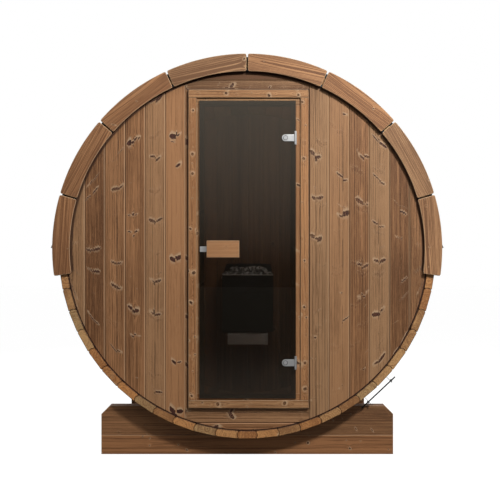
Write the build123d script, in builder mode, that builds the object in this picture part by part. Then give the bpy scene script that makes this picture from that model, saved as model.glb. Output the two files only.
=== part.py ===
"""Barrel sauna: a ring of staves in two timber cradles, boarded ends, a framed glass door and a heater.

Axes: X to the right and Y to the rear as seen from in front of the door, Z up, millimetres.
The origin is on the ground, below the middle of the whole object.
"""

from build123d import *
from math import asin, cos, degrees, radians, sin, tan
import os

# ---------------------------------------------------------------- driving dimensions
fit_gap = 0.3                  # between pieces that are fitted by hand

barrel_radius = 1010.0         # to the outside corners of the staves
barrel_length = 1600.0
stave_thickness = 40.0
staves_per_side = 26
bottom_stave_width = 98.0
stave_notch = 5.0              # chamfer on the long edges, inside and outside
bead_height = 6.0              # how far the round edge of a stave enters the next one
under_barrel = 100.0           # from the ground to the lowest stave

wall_thickness = 42.0
wall_recess = 10.0             # the ends of the staves stand this far proud of the walls

fascia_overlap = 24.0          # of the curved boards inside the staves
fascia_overhang = 30.0         # of the curved boards outside the staves
fascia_lift = 8.0              # centre of the curved boards above the barrel's axis
fascia_thickness = 20.0
fascia_boards_per_side = 4
fascia_board_angle = 24.575
fascia_joint = 8.0
fascia_corner_radius = 17.0

roof_start_angle = 5.0         # the lowest course begins this far above the horizontal
roof_courses_per_side = 11
roof_butt = 12.0               # thickness of a course at its lower edge
roof_top_edge = 5.0            # thickness of a course where the next one laps it

drip_edge_sheet = 1.5
drip_edge_flare = 39.0         # how far the free edge stands out from the staves
drip_edge_bottom = 12.0        # free edge above the barrel's axis

cradle_width = 1590.0
cradle_height = 264.0
cradle_base_height = 104.0
cradle_thickness = 85.0
cradle_chamfer = 45.0
cradle_setback = 95.0          # from the ends of the staves to the cradle's outer face
cradle_easing = 2.0

frame_centre_x = 7.0           # the door stands a little towards its hinges
frame_width = 642.0
wall_over_frame = 111.0        # at the middle of the wall
wall_under_frame = 123.0
casing_width = 43.0
casing_proud = 20.0            # in front of the wall
casing_easing = 2.0
rebate_depth = 12.0            # from the casing's face back to the door stop
head_depth = 83.0              # from the frame's edge to the clear opening, all four sides
sill_depth = 77.0
latch_jamb_depth = 83.0
hinge_jamb_depth = 93.0

glass_thickness = 8.0
glass_overlap = 25.0           # of the glass over the door stop, all round
glass_seal_gap = 5.0           # between the glass and the door stop

hinge_below_top = 200.0        # from the edges of the glass to the middle of each hinge
hinge_above_bottom = 192.0
hinge_axis_inset = 3.5         # from the edge of the glass to the pin
hinge_pin_radius = 2.5
hinge_bore_clearance = 0.05
hinge_knuckle_radius = 5.0
hinge_plate_height = 71.0
hinge_leaf = 2.5
clamp_length = 66.0
clamp_height = 37.0
clamp_plate = 5.0

handle_length = 173.0
handle_height = 90.0
handle_thickness = 38.0
handle_easing = 3.0
handle_from_edge = 41.0        # from the edge of the glass
handle_above_axis = 5.0
catch_length = 37.0
catch_height = 29.5
catch_sheet = 3.0

band_width = 25.0
band_sheet = 1.2
band_setback = 76.0            # middle of the band behind the ends of the staves
tensioner_angle = 46.8         # below the horizontal, on the right
lug_spacing = 164.0            # between the outer faces of the band's bent ends
lug_sheet = 2.0
lug_length = 52.0
lug_hole_radius = 4.5
tension_rod_radius = 4.0
tension_rod_offset = 39.0      # of the rod's middle from the corners of the staves
tension_rod_above = 33.0
tension_rod_below = 53.0
nut_across_flats = 13.0
nut_height = 6.5

heater_width = 341.0
heater_height = 386.0
heater_depth = 240.0
heater_wall_gap = 40.0
heater_below_axis = 142.0      # rim of the stone tray below the barrel's axis
heater_sheet = 2.0
heater_tray_depth = 120.0
heater_seam = 2.0
heater_seam_drop = 142.0       # seam between the upper and lower sheets, below the rim
heater_rail_width = 30.0
heater_rail_inset = 50.0
heater_rail_margin = 60.0
stone_heap_height = 62.0
stone_heap_taper = 35.0
control_box_width = 269.0
control_box_height = 74.0
control_box_depth = 150.0
control_box_gap = 8.0
control_box_neck = 60.0        # width of the ledge left round the neck that joins it to the heater

# ---------------------------------------------------------------- values that follow
ground_to_axis = barrel_radius + under_barrel
bottom_half_angle = degrees(asin(bottom_stave_width / 2 / barrel_radius))
stave_angle = (180 - bottom_half_angle) / staves_per_side
outer_flat = barrel_radius * cos(radians(stave_angle / 2))
inner_flat = outer_flat - stave_thickness

casing_front = wall_recess - casing_proud
stop_front = casing_front + rebate_depth
glass_back = stop_front - glass_seal_gap
glass_front = glass_back - glass_thickness
handle_front = glass_front - handle_thickness
wall_back = wall_recess + wall_thickness

front_reach = max(-handle_front, fascia_thickness)
front_y = (front_reach - barrel_length - fascia_thickness) / 2

frame_left = frame_centre_x - frame_width / 2
frame_right = frame_centre_x + frame_width / 2
frame_top = inner_flat - fit_gap - wall_over_frame
frame_bottom = wall_under_frame + fit_gap - inner_flat
clear_left = frame_left + latch_jamb_depth
clear_right = frame_right - hinge_jamb_depth
clear_top = frame_top - head_depth
clear_bottom = frame_bottom + sill_depth
glass_left = clear_left - glass_overlap
glass_right = clear_right + glass_overlap
glass_top = clear_top + glass_overlap
glass_bottom = clear_bottom - glass_overlap

os.makedirs("parts", exist_ok=True)


def across(depth):
    """Plane across the barrel, depth behind the front ends of the staves, centred on the axis.

    Its x is X and its y is up. What is extruded by a negative amount goes to the rear.
    """
    return Plane(origin=(0, front_y + depth, ground_to_axis), x_dir=(1, 0, 0), z_dir=(0, -1, 0))


def write(builder, label):
    """Name a finished piece and save it."""
    builder.part.label = label
    export_step(builder.part, f"parts/{label}.step")


# ---------------------------------------------------------------- staves
def rim_point(side, angle, radius, shift=0.0):
    """Point at an angle up from the barrel's bottom on one side, shifted upwards along the rim."""
    a = radians(angle)
    x = radius * sin(a) + shift * cos(a)
    y = -radius * cos(a) + shift * sin(a)
    return (side * x, y)


def rim_polygon(flat):
    """Corners of the ring of staves, drawn where the flat of a stave is this far from the axis."""
    corner = flat / cos(radians(stave_angle / 2))
    joints = [bottom_half_angle + count * stave_angle for count in range(staves_per_side)]
    right = [rim_point(1, angle, corner) for angle in joints]
    left = [rim_point(-1, angle, corner) for angle in reversed(joints)]
    return right + [rim_point(1, 180, corner)] + left


def stave_face(side, middle, half_angle, lower_bead, upper_bead):
    """Cross-section of one stave, flat inside and out, with a bead or a cove on each long edge."""
    outer = barrel_radius * cos(radians(half_angle))
    inner = outer - stave_thickness
    outer_half = outer * tan(radians(half_angle)) - stave_notch
    inner_half = inner * tan(radians(half_angle)) - stave_notch
    outer_edge = outer / cos(radians(half_angle)) - stave_notch
    inner_edge = inner / cos(radians(half_angle)) + stave_notch
    mid_edge = (outer_edge + inner_edge) / 2
    seam = fit_gap / 2

    def long_edge(end, bead):
        """Outer shoulder, tip and inner shoulder of the edge below (-1) or above (1)."""
        angle = middle + end * half_angle
        tip = bead_height - seam if bead else -bead_height - seam
        outside = rim_point(side, angle, outer_edge, -end * seam)
        inside = rim_point(side, angle, inner_edge, -end * seam)
        return outside, rim_point(side, angle, mid_edge, end * tip), inside

    upper = long_edge(1, upper_bead)
    lower = long_edge(-1, lower_bead)
    outer_low = rim_point(side, middle, outer, -outer_half)
    outer_high = rim_point(side, middle, outer, outer_half)
    inner_high = rim_point(side, middle, inner, inner_half)
    inner_low = rim_point(side, middle, inner, -inner_half)
    with BuildSketch(across(0)) as face:
        with BuildLine():
            Polyline(lower[0], outer_low, outer_high, upper[0])
            ThreePointArc(*upper)
            Polyline(upper[2], inner_high, inner_low, lower[2])
            ThreePointArc(lower[2], lower[1], lower[0])
        make_face()
    return face.sketch


def make_staves(label, side, first):
    """Every second stave of one side, from the bottom up; the one driven in last has two coves."""
    with BuildPart() as staves:
        for count in range(first, staves_per_side + 1, 2):
            middle = bottom_half_angle + (count - 0.5) * stave_angle
            driven_in_last = side > 0 and count == staves_per_side
            profile = stave_face(side, middle, stave_angle / 2, False, not driven_in_last)
            extrude(profile, amount=-barrel_length)
    write(staves, label)


with BuildPart() as bottom_stave:
    extrude(stave_face(1, 0, bottom_half_angle, True, True), amount=-barrel_length)
write(bottom_stave, "bottom_stave")

make_staves("staves_left_odd", -1, 1)
make_staves("staves_left_even", -1, 2)
make_staves("staves_right_odd", 1, 1)
make_staves("staves_right_even", 1, 2)

# ---------------------------------------------------------------- cradles
saddle_radius = barrel_radius + fit_gap


def make_cradle(name, depth):
    """One cradle: a base board on the ground and two saddle boards on it, cut to the barrel."""
    base_top = cradle_base_height - ground_to_axis
    top = cradle_height - ground_to_axis
    half = cradle_width / 2
    with BuildPart() as base:
        with BuildSketch(across(depth)):
            with Locations((0, base_top - cradle_base_height / 2)):
                Rectangle(cradle_width, cradle_base_height)
            Circle(saddle_radius, mode=Mode.SUBTRACT)
        extrude(amount=-cradle_thickness)
        chamfer(base.edges().filter_by(Axis.Z), cradle_easing)
    write(base, f"{name}_cradle_base")
    with BuildPart() as saddle:
        with BuildSketch(across(depth)):
            with BuildLine():
                Polyline((-half, base_top), (half, base_top), (half, top - cradle_chamfer),
                         (half - cradle_chamfer, top), (cradle_chamfer - half, top),
                         (-half, top - cradle_chamfer), close=True)
            make_face()
            Circle(saddle_radius, mode=Mode.SUBTRACT)
        extrude(amount=-cradle_thickness)
        chamfer(saddle.edges().filter_by(Axis.Z), cradle_easing)
    write(saddle, f"{name}_cradle_saddle")


make_cradle("front", cradle_setback)
make_cradle("rear", barrel_length - cradle_setback - cradle_thickness)

# ---------------------------------------------------------------- end walls
def make_wall(label, depth, x_low, x_high, z_low, z_high):
    """The part of an end wall, cut to the flats of the staves, that lies inside a rectangle."""
    with BuildPart() as wall:
        with BuildSketch(across(depth)):
            Polygon(*rim_polygon(inner_flat - fit_gap), align=None)
            with Locations(((x_low + x_high) / 2, (z_low + z_high) / 2)):
                Rectangle(x_high - x_low, z_high - z_low, mode=Mode.INTERSECT)
        extrude(amount=-wall_thickness)
    write(wall, label)


rim = barrel_radius
left_of_door = frame_left - fit_gap
right_of_door = frame_right + fit_gap
make_wall("front_wall_left", wall_recess, -rim, left_of_door, -rim, rim)
make_wall("front_wall_right", wall_recess, right_of_door, rim, -rim, rim)
make_wall("front_wall_over_door", wall_recess, frame_left, frame_right, frame_top + fit_gap, rim)
make_wall("front_wall_under_door", wall_recess, frame_left, frame_right, -rim, frame_bottom - fit_gap)
make_wall("back_wall", barrel_length - wall_back, -rim, rim, -rim, rim)

# ---------------------------------------------------------------- curved fascia boards
fascia_inner_radius = barrel_radius - stave_thickness - fascia_overlap
fascia_outer_radius = barrel_radius + fascia_overhang


def fascia_face(plane, start):
    """One curved board that begins at an angle above the horizontal on the right."""
    inner_step = degrees(asin(fascia_joint / 2 / fascia_inner_radius))
    outer_step = degrees(asin(fascia_joint / 2 / fascia_outer_radius))
    centre = (0, fascia_lift)
    with BuildSketch(plane) as face:
        with BuildLine():
            inner = CenterArc(centre, fascia_inner_radius, start + inner_step,
                              fascia_board_angle - 2 * inner_step)
            outer = CenterArc(centre, fascia_outer_radius, start + outer_step,
                              fascia_board_angle - 2 * outer_step)
            Line(inner @ 0, outer @ 0)
            Line(inner @ 1, outer @ 1)
        make_face()
        fillet(face.vertices(), fascia_corner_radius)
    return face.sketch


def make_fascia(label, depth, first_board):
    """The boards of one quarter, laid over the ends of the staves."""
    with BuildPart() as boards:
        for count in range(first_board, first_board + fascia_boards_per_side):
            start = 90 + (count - fascia_boards_per_side) * fascia_board_angle
            extrude(fascia_face(across(depth), start), amount=-fascia_thickness)
    write(boards, label)


make_fascia("front_fascia_right", -fascia_thickness, 0)
make_fascia("front_fascia_left", -fascia_thickness, fascia_boards_per_side)
make_fascia("rear_fascia_right", barrel_length, 0)
make_fascia("rear_fascia_left", barrel_length, fascia_boards_per_side)

# ---------------------------------------------------------------- roof covering
roof_inner_radius = barrel_radius + band_sheet + 2 * fit_gap
roof_course_angle = (90 - roof_start_angle) / roof_courses_per_side
course_joint_angle = degrees(fit_gap / roof_inner_radius)


def course_face(side, count):
    """Cross-section of one lapped course, thick at its lower edge."""
    low = 90 + roof_start_angle + count * roof_course_angle + course_joint_angle / 2
    high = low + roof_course_angle - course_joint_angle
    middle = (low + high) / 2
    butt_radius = roof_inner_radius + roof_butt
    thin_radius = roof_inner_radius + roof_top_edge
    with BuildSketch(across(0)) as face:
        with BuildLine():
            ThreePointArc(rim_point(side, low, roof_inner_radius),
                          rim_point(side, middle, roof_inner_radius),
                          rim_point(side, high, roof_inner_radius))
            Line(rim_point(side, high, roof_inner_radius), rim_point(side, high, thin_radius))
            ThreePointArc(rim_point(side, high, thin_radius),
                          rim_point(side, middle, (butt_radius + thin_radius) / 2),
                          rim_point(side, low, butt_radius))
            Line(rim_point(side, low, butt_radius), rim_point(side, low, roof_inner_radius))
        make_face()
    return face.sketch


def make_roof(label, side):
    """The courses of one side, from the eaves to the top."""
    with BuildPart() as courses:
        for count in range(roof_courses_per_side):
            extrude(course_face(side, count), amount=-barrel_length)
    write(courses, label)


make_roof("roof_left", -1)
make_roof("roof_right", 1)

# ---------------------------------------------------------------- drip edges
def drip_edge_face(side):
    """Sheet that starts against the lowest course and flares outwards and down."""
    top = roof_inner_radius * sin(radians(roof_start_angle)) - fit_gap
    near = roof_inner_radius * cos(radians(roof_start_angle))
    far = barrel_radius + drip_edge_flare
    with BuildSketch(across(0)) as face:
        with BuildLine():
            Polyline((side * near, top), (side * (near + roof_butt), top),
                     (side * (far + drip_edge_sheet), drip_edge_bottom), (side * far, drip_edge_bottom),
                     (side * (near + roof_butt - drip_edge_sheet), top - 2 * drip_edge_sheet),
                     (side * near, top - 2 * drip_edge_sheet), close=True)
        make_face()
    return face.sketch


with BuildPart() as drip_edges:
    for drip_side in (-1, 1):
        extrude(drip_edge_face(drip_side), amount=-barrel_length)
write(drip_edges, "drip_edges")

# ---------------------------------------------------------------- door frame
def block(x_low, x_high, z_low, z_high, depth_low, depth_high):
    """Box between two depths behind the front ends of the staves, sizes from the barrel's axis."""
    with BuildSketch(across(depth_low)) as face:
        with Locations(((x_low + x_high) / 2, (z_low + z_high) / 2)):
            Rectangle(x_high - x_low, z_high - z_low)
    return extrude(face.sketch, amount=depth_low - depth_high, mode=Mode.PRIVATE)


def make_frame_member(label, casing, body):
    """One side of the door frame: a casing in front, and a stop that runs through the wall."""
    with BuildPart() as member:
        add(block(*casing, casing_front, stop_front))
        chamfer(member.faces().sort_by(Axis.Y)[0].edges(), casing_easing)
        add(block(*body, stop_front, wall_back))
    write(member, label)


casing_bottom = frame_bottom + casing_width
casing_top = frame_top - casing_width
make_frame_member("door_head", (frame_left, frame_right, casing_top, frame_top),
                  (frame_left, frame_right, clear_top, frame_top))
make_frame_member("door_sill", (frame_left, frame_right, frame_bottom, casing_bottom),
                  (frame_left, frame_right, frame_bottom, clear_bottom))
make_frame_member("door_jamb_left", (frame_left, frame_left + casing_width, casing_bottom, casing_top),
                  (frame_left, clear_left, clear_bottom, clear_top))
make_frame_member("door_jamb_right", (frame_right - casing_width, frame_right, casing_bottom, casing_top),
                  (clear_right, frame_right, clear_bottom, clear_top))

# ---------------------------------------------------------------- glass door
pin_x = glass_right - hinge_axis_inset
pin_depth = glass_front - hinge_knuckle_radius - fit_gap
clamp_left = pin_x - hinge_knuckle_radius - clamp_length
clamp_round = clamp_left + clamp_height / 2
clamp_back_right = clear_right - glass_seal_gap
hinge_levels = (glass_bottom + hinge_above_bottom, glass_top - hinge_below_top)

with BuildPart() as door_glass:
    add(block(glass_left, glass_right, glass_bottom, glass_top, glass_front, glass_back))
write(door_glass, "door_glass")


def pin_plane(level):
    """Level plane centred on the hinge pin, at a height above the barrel's axis."""
    return Plane((pin_x, front_y + pin_depth, ground_to_axis + level))


def clamp_face(depth, right, level):
    """Plate with one half-round end, from that end to a given x."""
    with BuildSketch(across(depth)) as face:
        with Locations(((clamp_round + right) / 2, level)):
            Rectangle(right - clamp_round, clamp_height)
        with Locations((clamp_round, level)):
            Circle(clamp_height / 2)
    return face.sketch


with BuildPart() as hinge_clamps:
    for level in hinge_levels:
        extrude(clamp_face(glass_front, pin_x, level), amount=clamp_plate)
        extrude(clamp_face(glass_back, clamp_back_right, level), amount=-clamp_plate)
        with BuildSketch(pin_plane(level - clamp_height / 2)):
            Circle(hinge_knuckle_radius)
        extrude(amount=clamp_height)
        with BuildSketch(pin_plane(level - clamp_height / 2)):
            Circle(hinge_pin_radius + hinge_bore_clearance)
        extrude(amount=clamp_height, mode=Mode.SUBTRACT)
write(hinge_clamps, "hinge_clamps")

ear_height = (hinge_plate_height - clamp_height) / 2 - fit_gap
leaf_x = pin_x + hinge_knuckle_radius + fit_gap
leaf_front = pin_depth - hinge_leaf / 2
with BuildPart() as hinge_plates:
    for level in hinge_levels:
        foot = level - hinge_plate_height / 2
        top = level + hinge_plate_height / 2
        with BuildSketch(pin_plane(foot)):
            Circle(hinge_pin_radius)
        extrude(amount=hinge_plate_height)
        for ear_foot in (foot, top - ear_height):
            with BuildSketch(pin_plane(ear_foot)):
                Circle(hinge_knuckle_radius)
            extrude(amount=ear_height)
            add(block(pin_x, leaf_x, ear_foot, ear_foot + ear_height, leaf_front, leaf_front + hinge_leaf))
        add(block(leaf_x, leaf_x + hinge_leaf, foot, top, leaf_front, stop_front))
write(hinge_plates, "hinge_plates")

handle_left = glass_left + handle_from_edge
handle_bottom = handle_above_axis - handle_height / 2
handle_box = (handle_left, handle_left + handle_length, handle_bottom, handle_bottom + handle_height)
with BuildPart() as door_handle:
    add(block(*handle_box, handle_front, glass_front))
    add(block(*handle_box, glass_back, glass_back + handle_thickness))
    fillet(door_handle.edges().group_by(Axis.Y)[0], handle_easing)
    fillet(door_handle.edges().group_by(Axis.Y)[-1], handle_easing)
write(door_handle, "door_handle")

with BuildPart() as door_catch:
    catch_bottom = handle_above_axis - catch_height / 2
    add(block(handle_left - fit_gap - catch_length, handle_left - fit_gap,
              catch_bottom, catch_bottom + catch_height, glass_front - catch_sheet, glass_front))
write(door_catch, "door_catch")

# ---------------------------------------------------------------- bands and tensioners
lug_face = lug_spacing / 2
rod_centre = barrel_radius + tension_rod_offset
band_flat = outer_flat + fit_gap


def tensioner_plane(depth, offset):
    """Plane square to the rod, its x outwards from the barrel's axis."""
    a = radians(-tensioner_angle)
    along = Vector(-sin(a), 0, cos(a))
    centre = Vector(0, front_y + depth, ground_to_axis) + along * offset
    return Plane(origin=centre, x_dir=(cos(a), 0, sin(a)), z_dir=along)


def make_band(name, depth):
    """Steel band round the staves, both ends bent outwards, drawn together by a threaded rod."""
    with BuildPart() as band:
        with BuildSketch(across(depth - band_width / 2)):
            Polygon(*rim_polygon(band_flat + band_sheet), align=None)
            with Locations(Location((0, 0), -tensioner_angle)):
                with Locations((barrel_radius, 0)):
                    Rectangle(2 * lug_length, lug_spacing - 2 * lug_sheet, mode=Mode.SUBTRACT)
                with Locations((barrel_radius, lug_face - lug_sheet / 2),
                               (barrel_radius, lug_sheet / 2 - lug_face)):
                    Rectangle(2 * lug_length, lug_sheet)
            Polygon(*rim_polygon(band_flat), align=None, mode=Mode.SUBTRACT)
        extrude(amount=-band_width)
        with BuildSketch(tensioner_plane(depth, -lug_face)):
            with Locations((rod_centre, 0)):
                Circle(lug_hole_radius)
        extrude(amount=lug_spacing, mode=Mode.SUBTRACT)
    write(band, f"{name}_band")
    with BuildPart() as rod:
        with BuildSketch(tensioner_plane(depth, -lug_face - tension_rod_below)):
            with Locations((rod_centre, 0)):
                Circle(tension_rod_radius)
        extrude(amount=tension_rod_below + lug_spacing + tension_rod_above)
        for end in (-1, 1):
            with BuildSketch(tensioner_plane(depth, end * lug_face)):
                with Locations((rod_centre, 0)):
                    RegularPolygon(nut_across_flats / 2, 6, major_radius=False)
            extrude(amount=end * nut_height)
    write(rod, f"{name}_tension_rod")


make_band("front", band_setback)
make_band("rear", barrel_length - band_setback)

# ---------------------------------------------------------------- heater on the back wall
heater_back = barrel_length - wall_back - heater_wall_gap
heater_front = heater_back - heater_depth
heater_rim = -heater_below_axis
heater_foot = heater_rim - heater_height
heater_half = heater_width / 2
tray_width = heater_width - 2 * heater_sheet
tray_depth = heater_depth - 2 * heater_sheet


def tray_plane(level):
    """Level plane centred on the stone tray, at a height above the barrel's axis."""
    return Plane((0, front_y + (heater_front + heater_back) / 2, ground_to_axis + level))


with BuildPart() as heater_body:
    add(block(-heater_half, heater_half, heater_foot, heater_rim, heater_front, heater_back))
    with BuildSketch(tray_plane(heater_rim)):
        Rectangle(tray_width, tray_depth)
    extrude(amount=-heater_tray_depth, mode=Mode.SUBTRACT)
    with BuildSketch(tray_plane(heater_rim - heater_seam_drop)):
        Rectangle(heater_width, heater_depth)
        Rectangle(heater_width - 2 * heater_seam, heater_depth - 2 * heater_seam, mode=Mode.SUBTRACT)
    extrude(amount=-heater_seam, mode=Mode.SUBTRACT)
write(heater_body, "heater_body")

with BuildPart() as heater_stones:
    with BuildSketch(tray_plane(heater_rim - heater_tray_depth + fit_gap)):
        Rectangle(tray_width - 2 * fit_gap, tray_depth - 2 * fit_gap)
    extrude(amount=heater_tray_depth - fit_gap)
    with BuildSketch(tray_plane(heater_rim)):
        Rectangle(tray_width - 2 * fit_gap, tray_depth - 2 * fit_gap)
    extrude(amount=stone_heap_height, taper=stone_heap_taper)
write(heater_stones, "heater_stones")

with BuildPart() as heater_rails:
    for rail_side in (-1, 1):
        rail_x = rail_side * (heater_half - heater_rail_inset)
        add(block(rail_x - heater_rail_width / 2, rail_x + heater_rail_width / 2,
                  heater_foot + heater_rail_margin, heater_rim - heater_rail_margin,
                  heater_back, heater_back + heater_wall_gap))
write(heater_rails, "heater_rails")

with BuildPart() as heater_control_box:
    box_top = heater_foot - control_box_gap
    box_half = control_box_width / 2
    add(block(-box_half, box_half, box_top - control_box_height, box_top,
              heater_front, heater_front + control_box_depth))
    add(block(control_box_neck - box_half, box_half - control_box_neck, box_top, heater_foot,
              heater_front + control_box_neck / 2, heater_front + control_box_depth - control_box_neck / 2))
write(heater_control_box, "heater_control_box")
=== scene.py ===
"""Barrel sauna: the visual model and its setting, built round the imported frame, in metres."""

import bpy
from math import asin, cos, pi, radians, sin, sqrt, tan
from mathutils import Matrix, Vector


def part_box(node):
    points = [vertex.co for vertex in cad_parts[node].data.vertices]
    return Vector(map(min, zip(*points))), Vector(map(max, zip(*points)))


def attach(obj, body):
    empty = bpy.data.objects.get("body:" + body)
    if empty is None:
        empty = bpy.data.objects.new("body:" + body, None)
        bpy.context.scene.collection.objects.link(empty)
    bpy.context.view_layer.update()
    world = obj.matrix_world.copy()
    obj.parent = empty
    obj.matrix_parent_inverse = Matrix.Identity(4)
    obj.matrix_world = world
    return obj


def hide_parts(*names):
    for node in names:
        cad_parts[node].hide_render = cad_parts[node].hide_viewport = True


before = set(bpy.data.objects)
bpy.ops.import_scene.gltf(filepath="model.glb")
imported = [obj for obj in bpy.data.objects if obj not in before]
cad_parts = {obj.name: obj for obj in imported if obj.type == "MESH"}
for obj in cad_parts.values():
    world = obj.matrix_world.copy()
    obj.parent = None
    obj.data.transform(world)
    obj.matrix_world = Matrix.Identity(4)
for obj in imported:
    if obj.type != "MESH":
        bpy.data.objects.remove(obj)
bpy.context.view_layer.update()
scene = bpy.context.scene

# --------------------------------------------------
# Timber. The sauna is built of heat-treated spruce, planed and left unfinished. Each board is
# sawn from a round log, so its colour is worked out in the log: yearly rings round a pith, and
# branches that rise from the pith in whorls, which show as round or as long spike-shaped knots.
# --------------------------------------------------


class Wire:
    """An output of a node, on which sums can be written as on a number."""

    def __init__(self, socket):
        self.socket = socket
        self.tree = socket.id_data

    def math(self, operation, *others):
        return wire(self.tree, "ShaderNodeMath", self, *others, operation=operation)

    def __add__(self, other):
        return self.math("ADD", other)

    def __sub__(self, other):
        return self.math("SUBTRACT", other)

    def __rsub__(self, other):
        return self * -1 + other

    def __mul__(self, other):
        return self.math("MULTIPLY", other)

    def __truediv__(self, other):
        return self.math("DIVIDE", other)

    __radd__, __rmul__ = __add__, __mul__

    def greater(self, other):
        return self.math("MAXIMUM", other)

    def lesser(self, other):
        return self.math("MINIMUM", other)

    def step(self, low, high, to_low=0.0, to_high=1.0):
        """Goes smoothly from to_low to to_high while the value goes from low to high."""
        return wire(self.tree, "ShaderNodeMapRange", self, low, high, to_low, to_high,
                    interpolation_type="SMOOTHSTEP")

    def mix(self, first, second):
        """Colour between the first, at 0, and the second, at 1."""
        made = node(self.tree, "ShaderNodeMix", data_type="RGBA")
        for value, place in ((self, 0), (first, 6), (second, 7)):
            plug(value, made.inputs[place])
        return Wire(made.outputs[2])


def plug(value, place):
    """Sets an input to a wire, a colour or any other value."""
    if isinstance(value, Wire):
        value.tree.links.new(value.socket, place)
    elif isinstance(value, (tuple, list)) and len(value) == 3 and len(place.default_value) == 4:
        place.default_value = (*value, 1.0)
    else:
        place.default_value = value


def node(tree, kind, *values, **named):
    """A node with its inputs set. Names in lower case are its settings, the others its inputs."""
    made = tree.nodes.new(kind)
    for name, value in named.items():
        if name.islower():
            setattr(made, name, value)
    for place, value in zip(made.inputs, values):
        plug(value, place)
    for name, value in named.items():
        if not name.islower():
            plug(value, made.inputs[name.replace("_", " ")])
    return made


def wire(tree, kind, *values, output=0, **named):
    """One output of a new node."""
    return Wire(node(tree, kind, *values, **named).outputs[output])


def apart(vector):
    """The three parts of a vector."""
    return [Wire(part) for part in node(vector.tree, "ShaderNodeSeparateXYZ", vector).outputs]


def together(*parts):
    """One vector of three parts."""
    tree = next(part.tree for part in parts if isinstance(part, Wire))
    return wire(tree, "ShaderNodeCombineXYZ", *parts)


def chance(*parts):
    """Three numbers from 0 to 1, the same wherever the three parts are the same."""
    spot = together(*parts)
    return apart(wire(spot.tree, "ShaderNodeTexWhiteNoise", Vector=spot, noise_dimensions="3D",
                      output="Color"))


def mottle(vector, scale, detail=2.0, roughness=0.5, output="Fac"):
    """Noise from 0 to 1 over a vector."""
    return wire(vector.tree, "ShaderNodeTexNoise", Vector=vector, Scale=scale, Detail=detail,
                Roughness=roughness, output=output)


def surface(name):
    """A new material, and the place of a point in the piece that has it."""
    material = bpy.data.materials.new(name)
    material.use_nodes = True
    return material, wire(material.node_tree, "ShaderNodeTexCoord", output="Object")


def coat(material, bump=None, **inputs):
    """Sets the inputs of a material's shader. A bump is a strength, a depth and its height."""
    if bump:
        strength, depth, height = bump
        inputs["Normal"] = wire(material.node_tree, "ShaderNodeBump", Strength=strength,
                                Distance=depth, Height=height)
    for name, value in inputs.items():
        plug(value, material.node_tree.nodes["Principled BSDF"].inputs[name.replace("_", " ")])
    return material


def branch(radius, turn, along, log, kind, spacing, branches, size, growth, rise, share, spiral,
           reach):
    """How near a point of the log is to a branch (0 in its middle, 1 at its bark).

    Also how thick that branch is, and how far above its middle the point lies.
    """
    along = (along - radius * rise + log * 41.3) / spacing
    whorl = along.math("FLOOR")
    lean, twist, strength = chance(whorl, log * 97.0, kind)
    height = (along - whorl - 0.5 - (lean - 0.5) * 0.75) * spacing
    sector = (turn + (twist - 0.5) * spiral) * branches + 0.5
    which = sector.math("FLOOR")
    own, drop, vigour = chance(whorl, which.math("FLOORED_MODULO", branches), log * 53.0 + kind)
    aside = (sector - which - 0.5 - (own - 0.5) * 0.5) * (2 * pi) / branches
    height = height - (drop - 0.5) * 0.03
    thickness = (radius * growth + size) * (vigour * 0.9 + 0.45) * (strength * 0.6 + 0.45)
    thickness = thickness * (radius / reach).step(0.6, 1.2, 1.0, 0.02)
    grown = vigour.math("LESS_THAN", (strength * 0.9 + 0.6) * share)
    across = radius * aside.math("SINE")
    distance = (across * across + height * height).math("SQRT") / thickness
    return distance + (1 - grown) * 50, thickness, height / thickness


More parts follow.
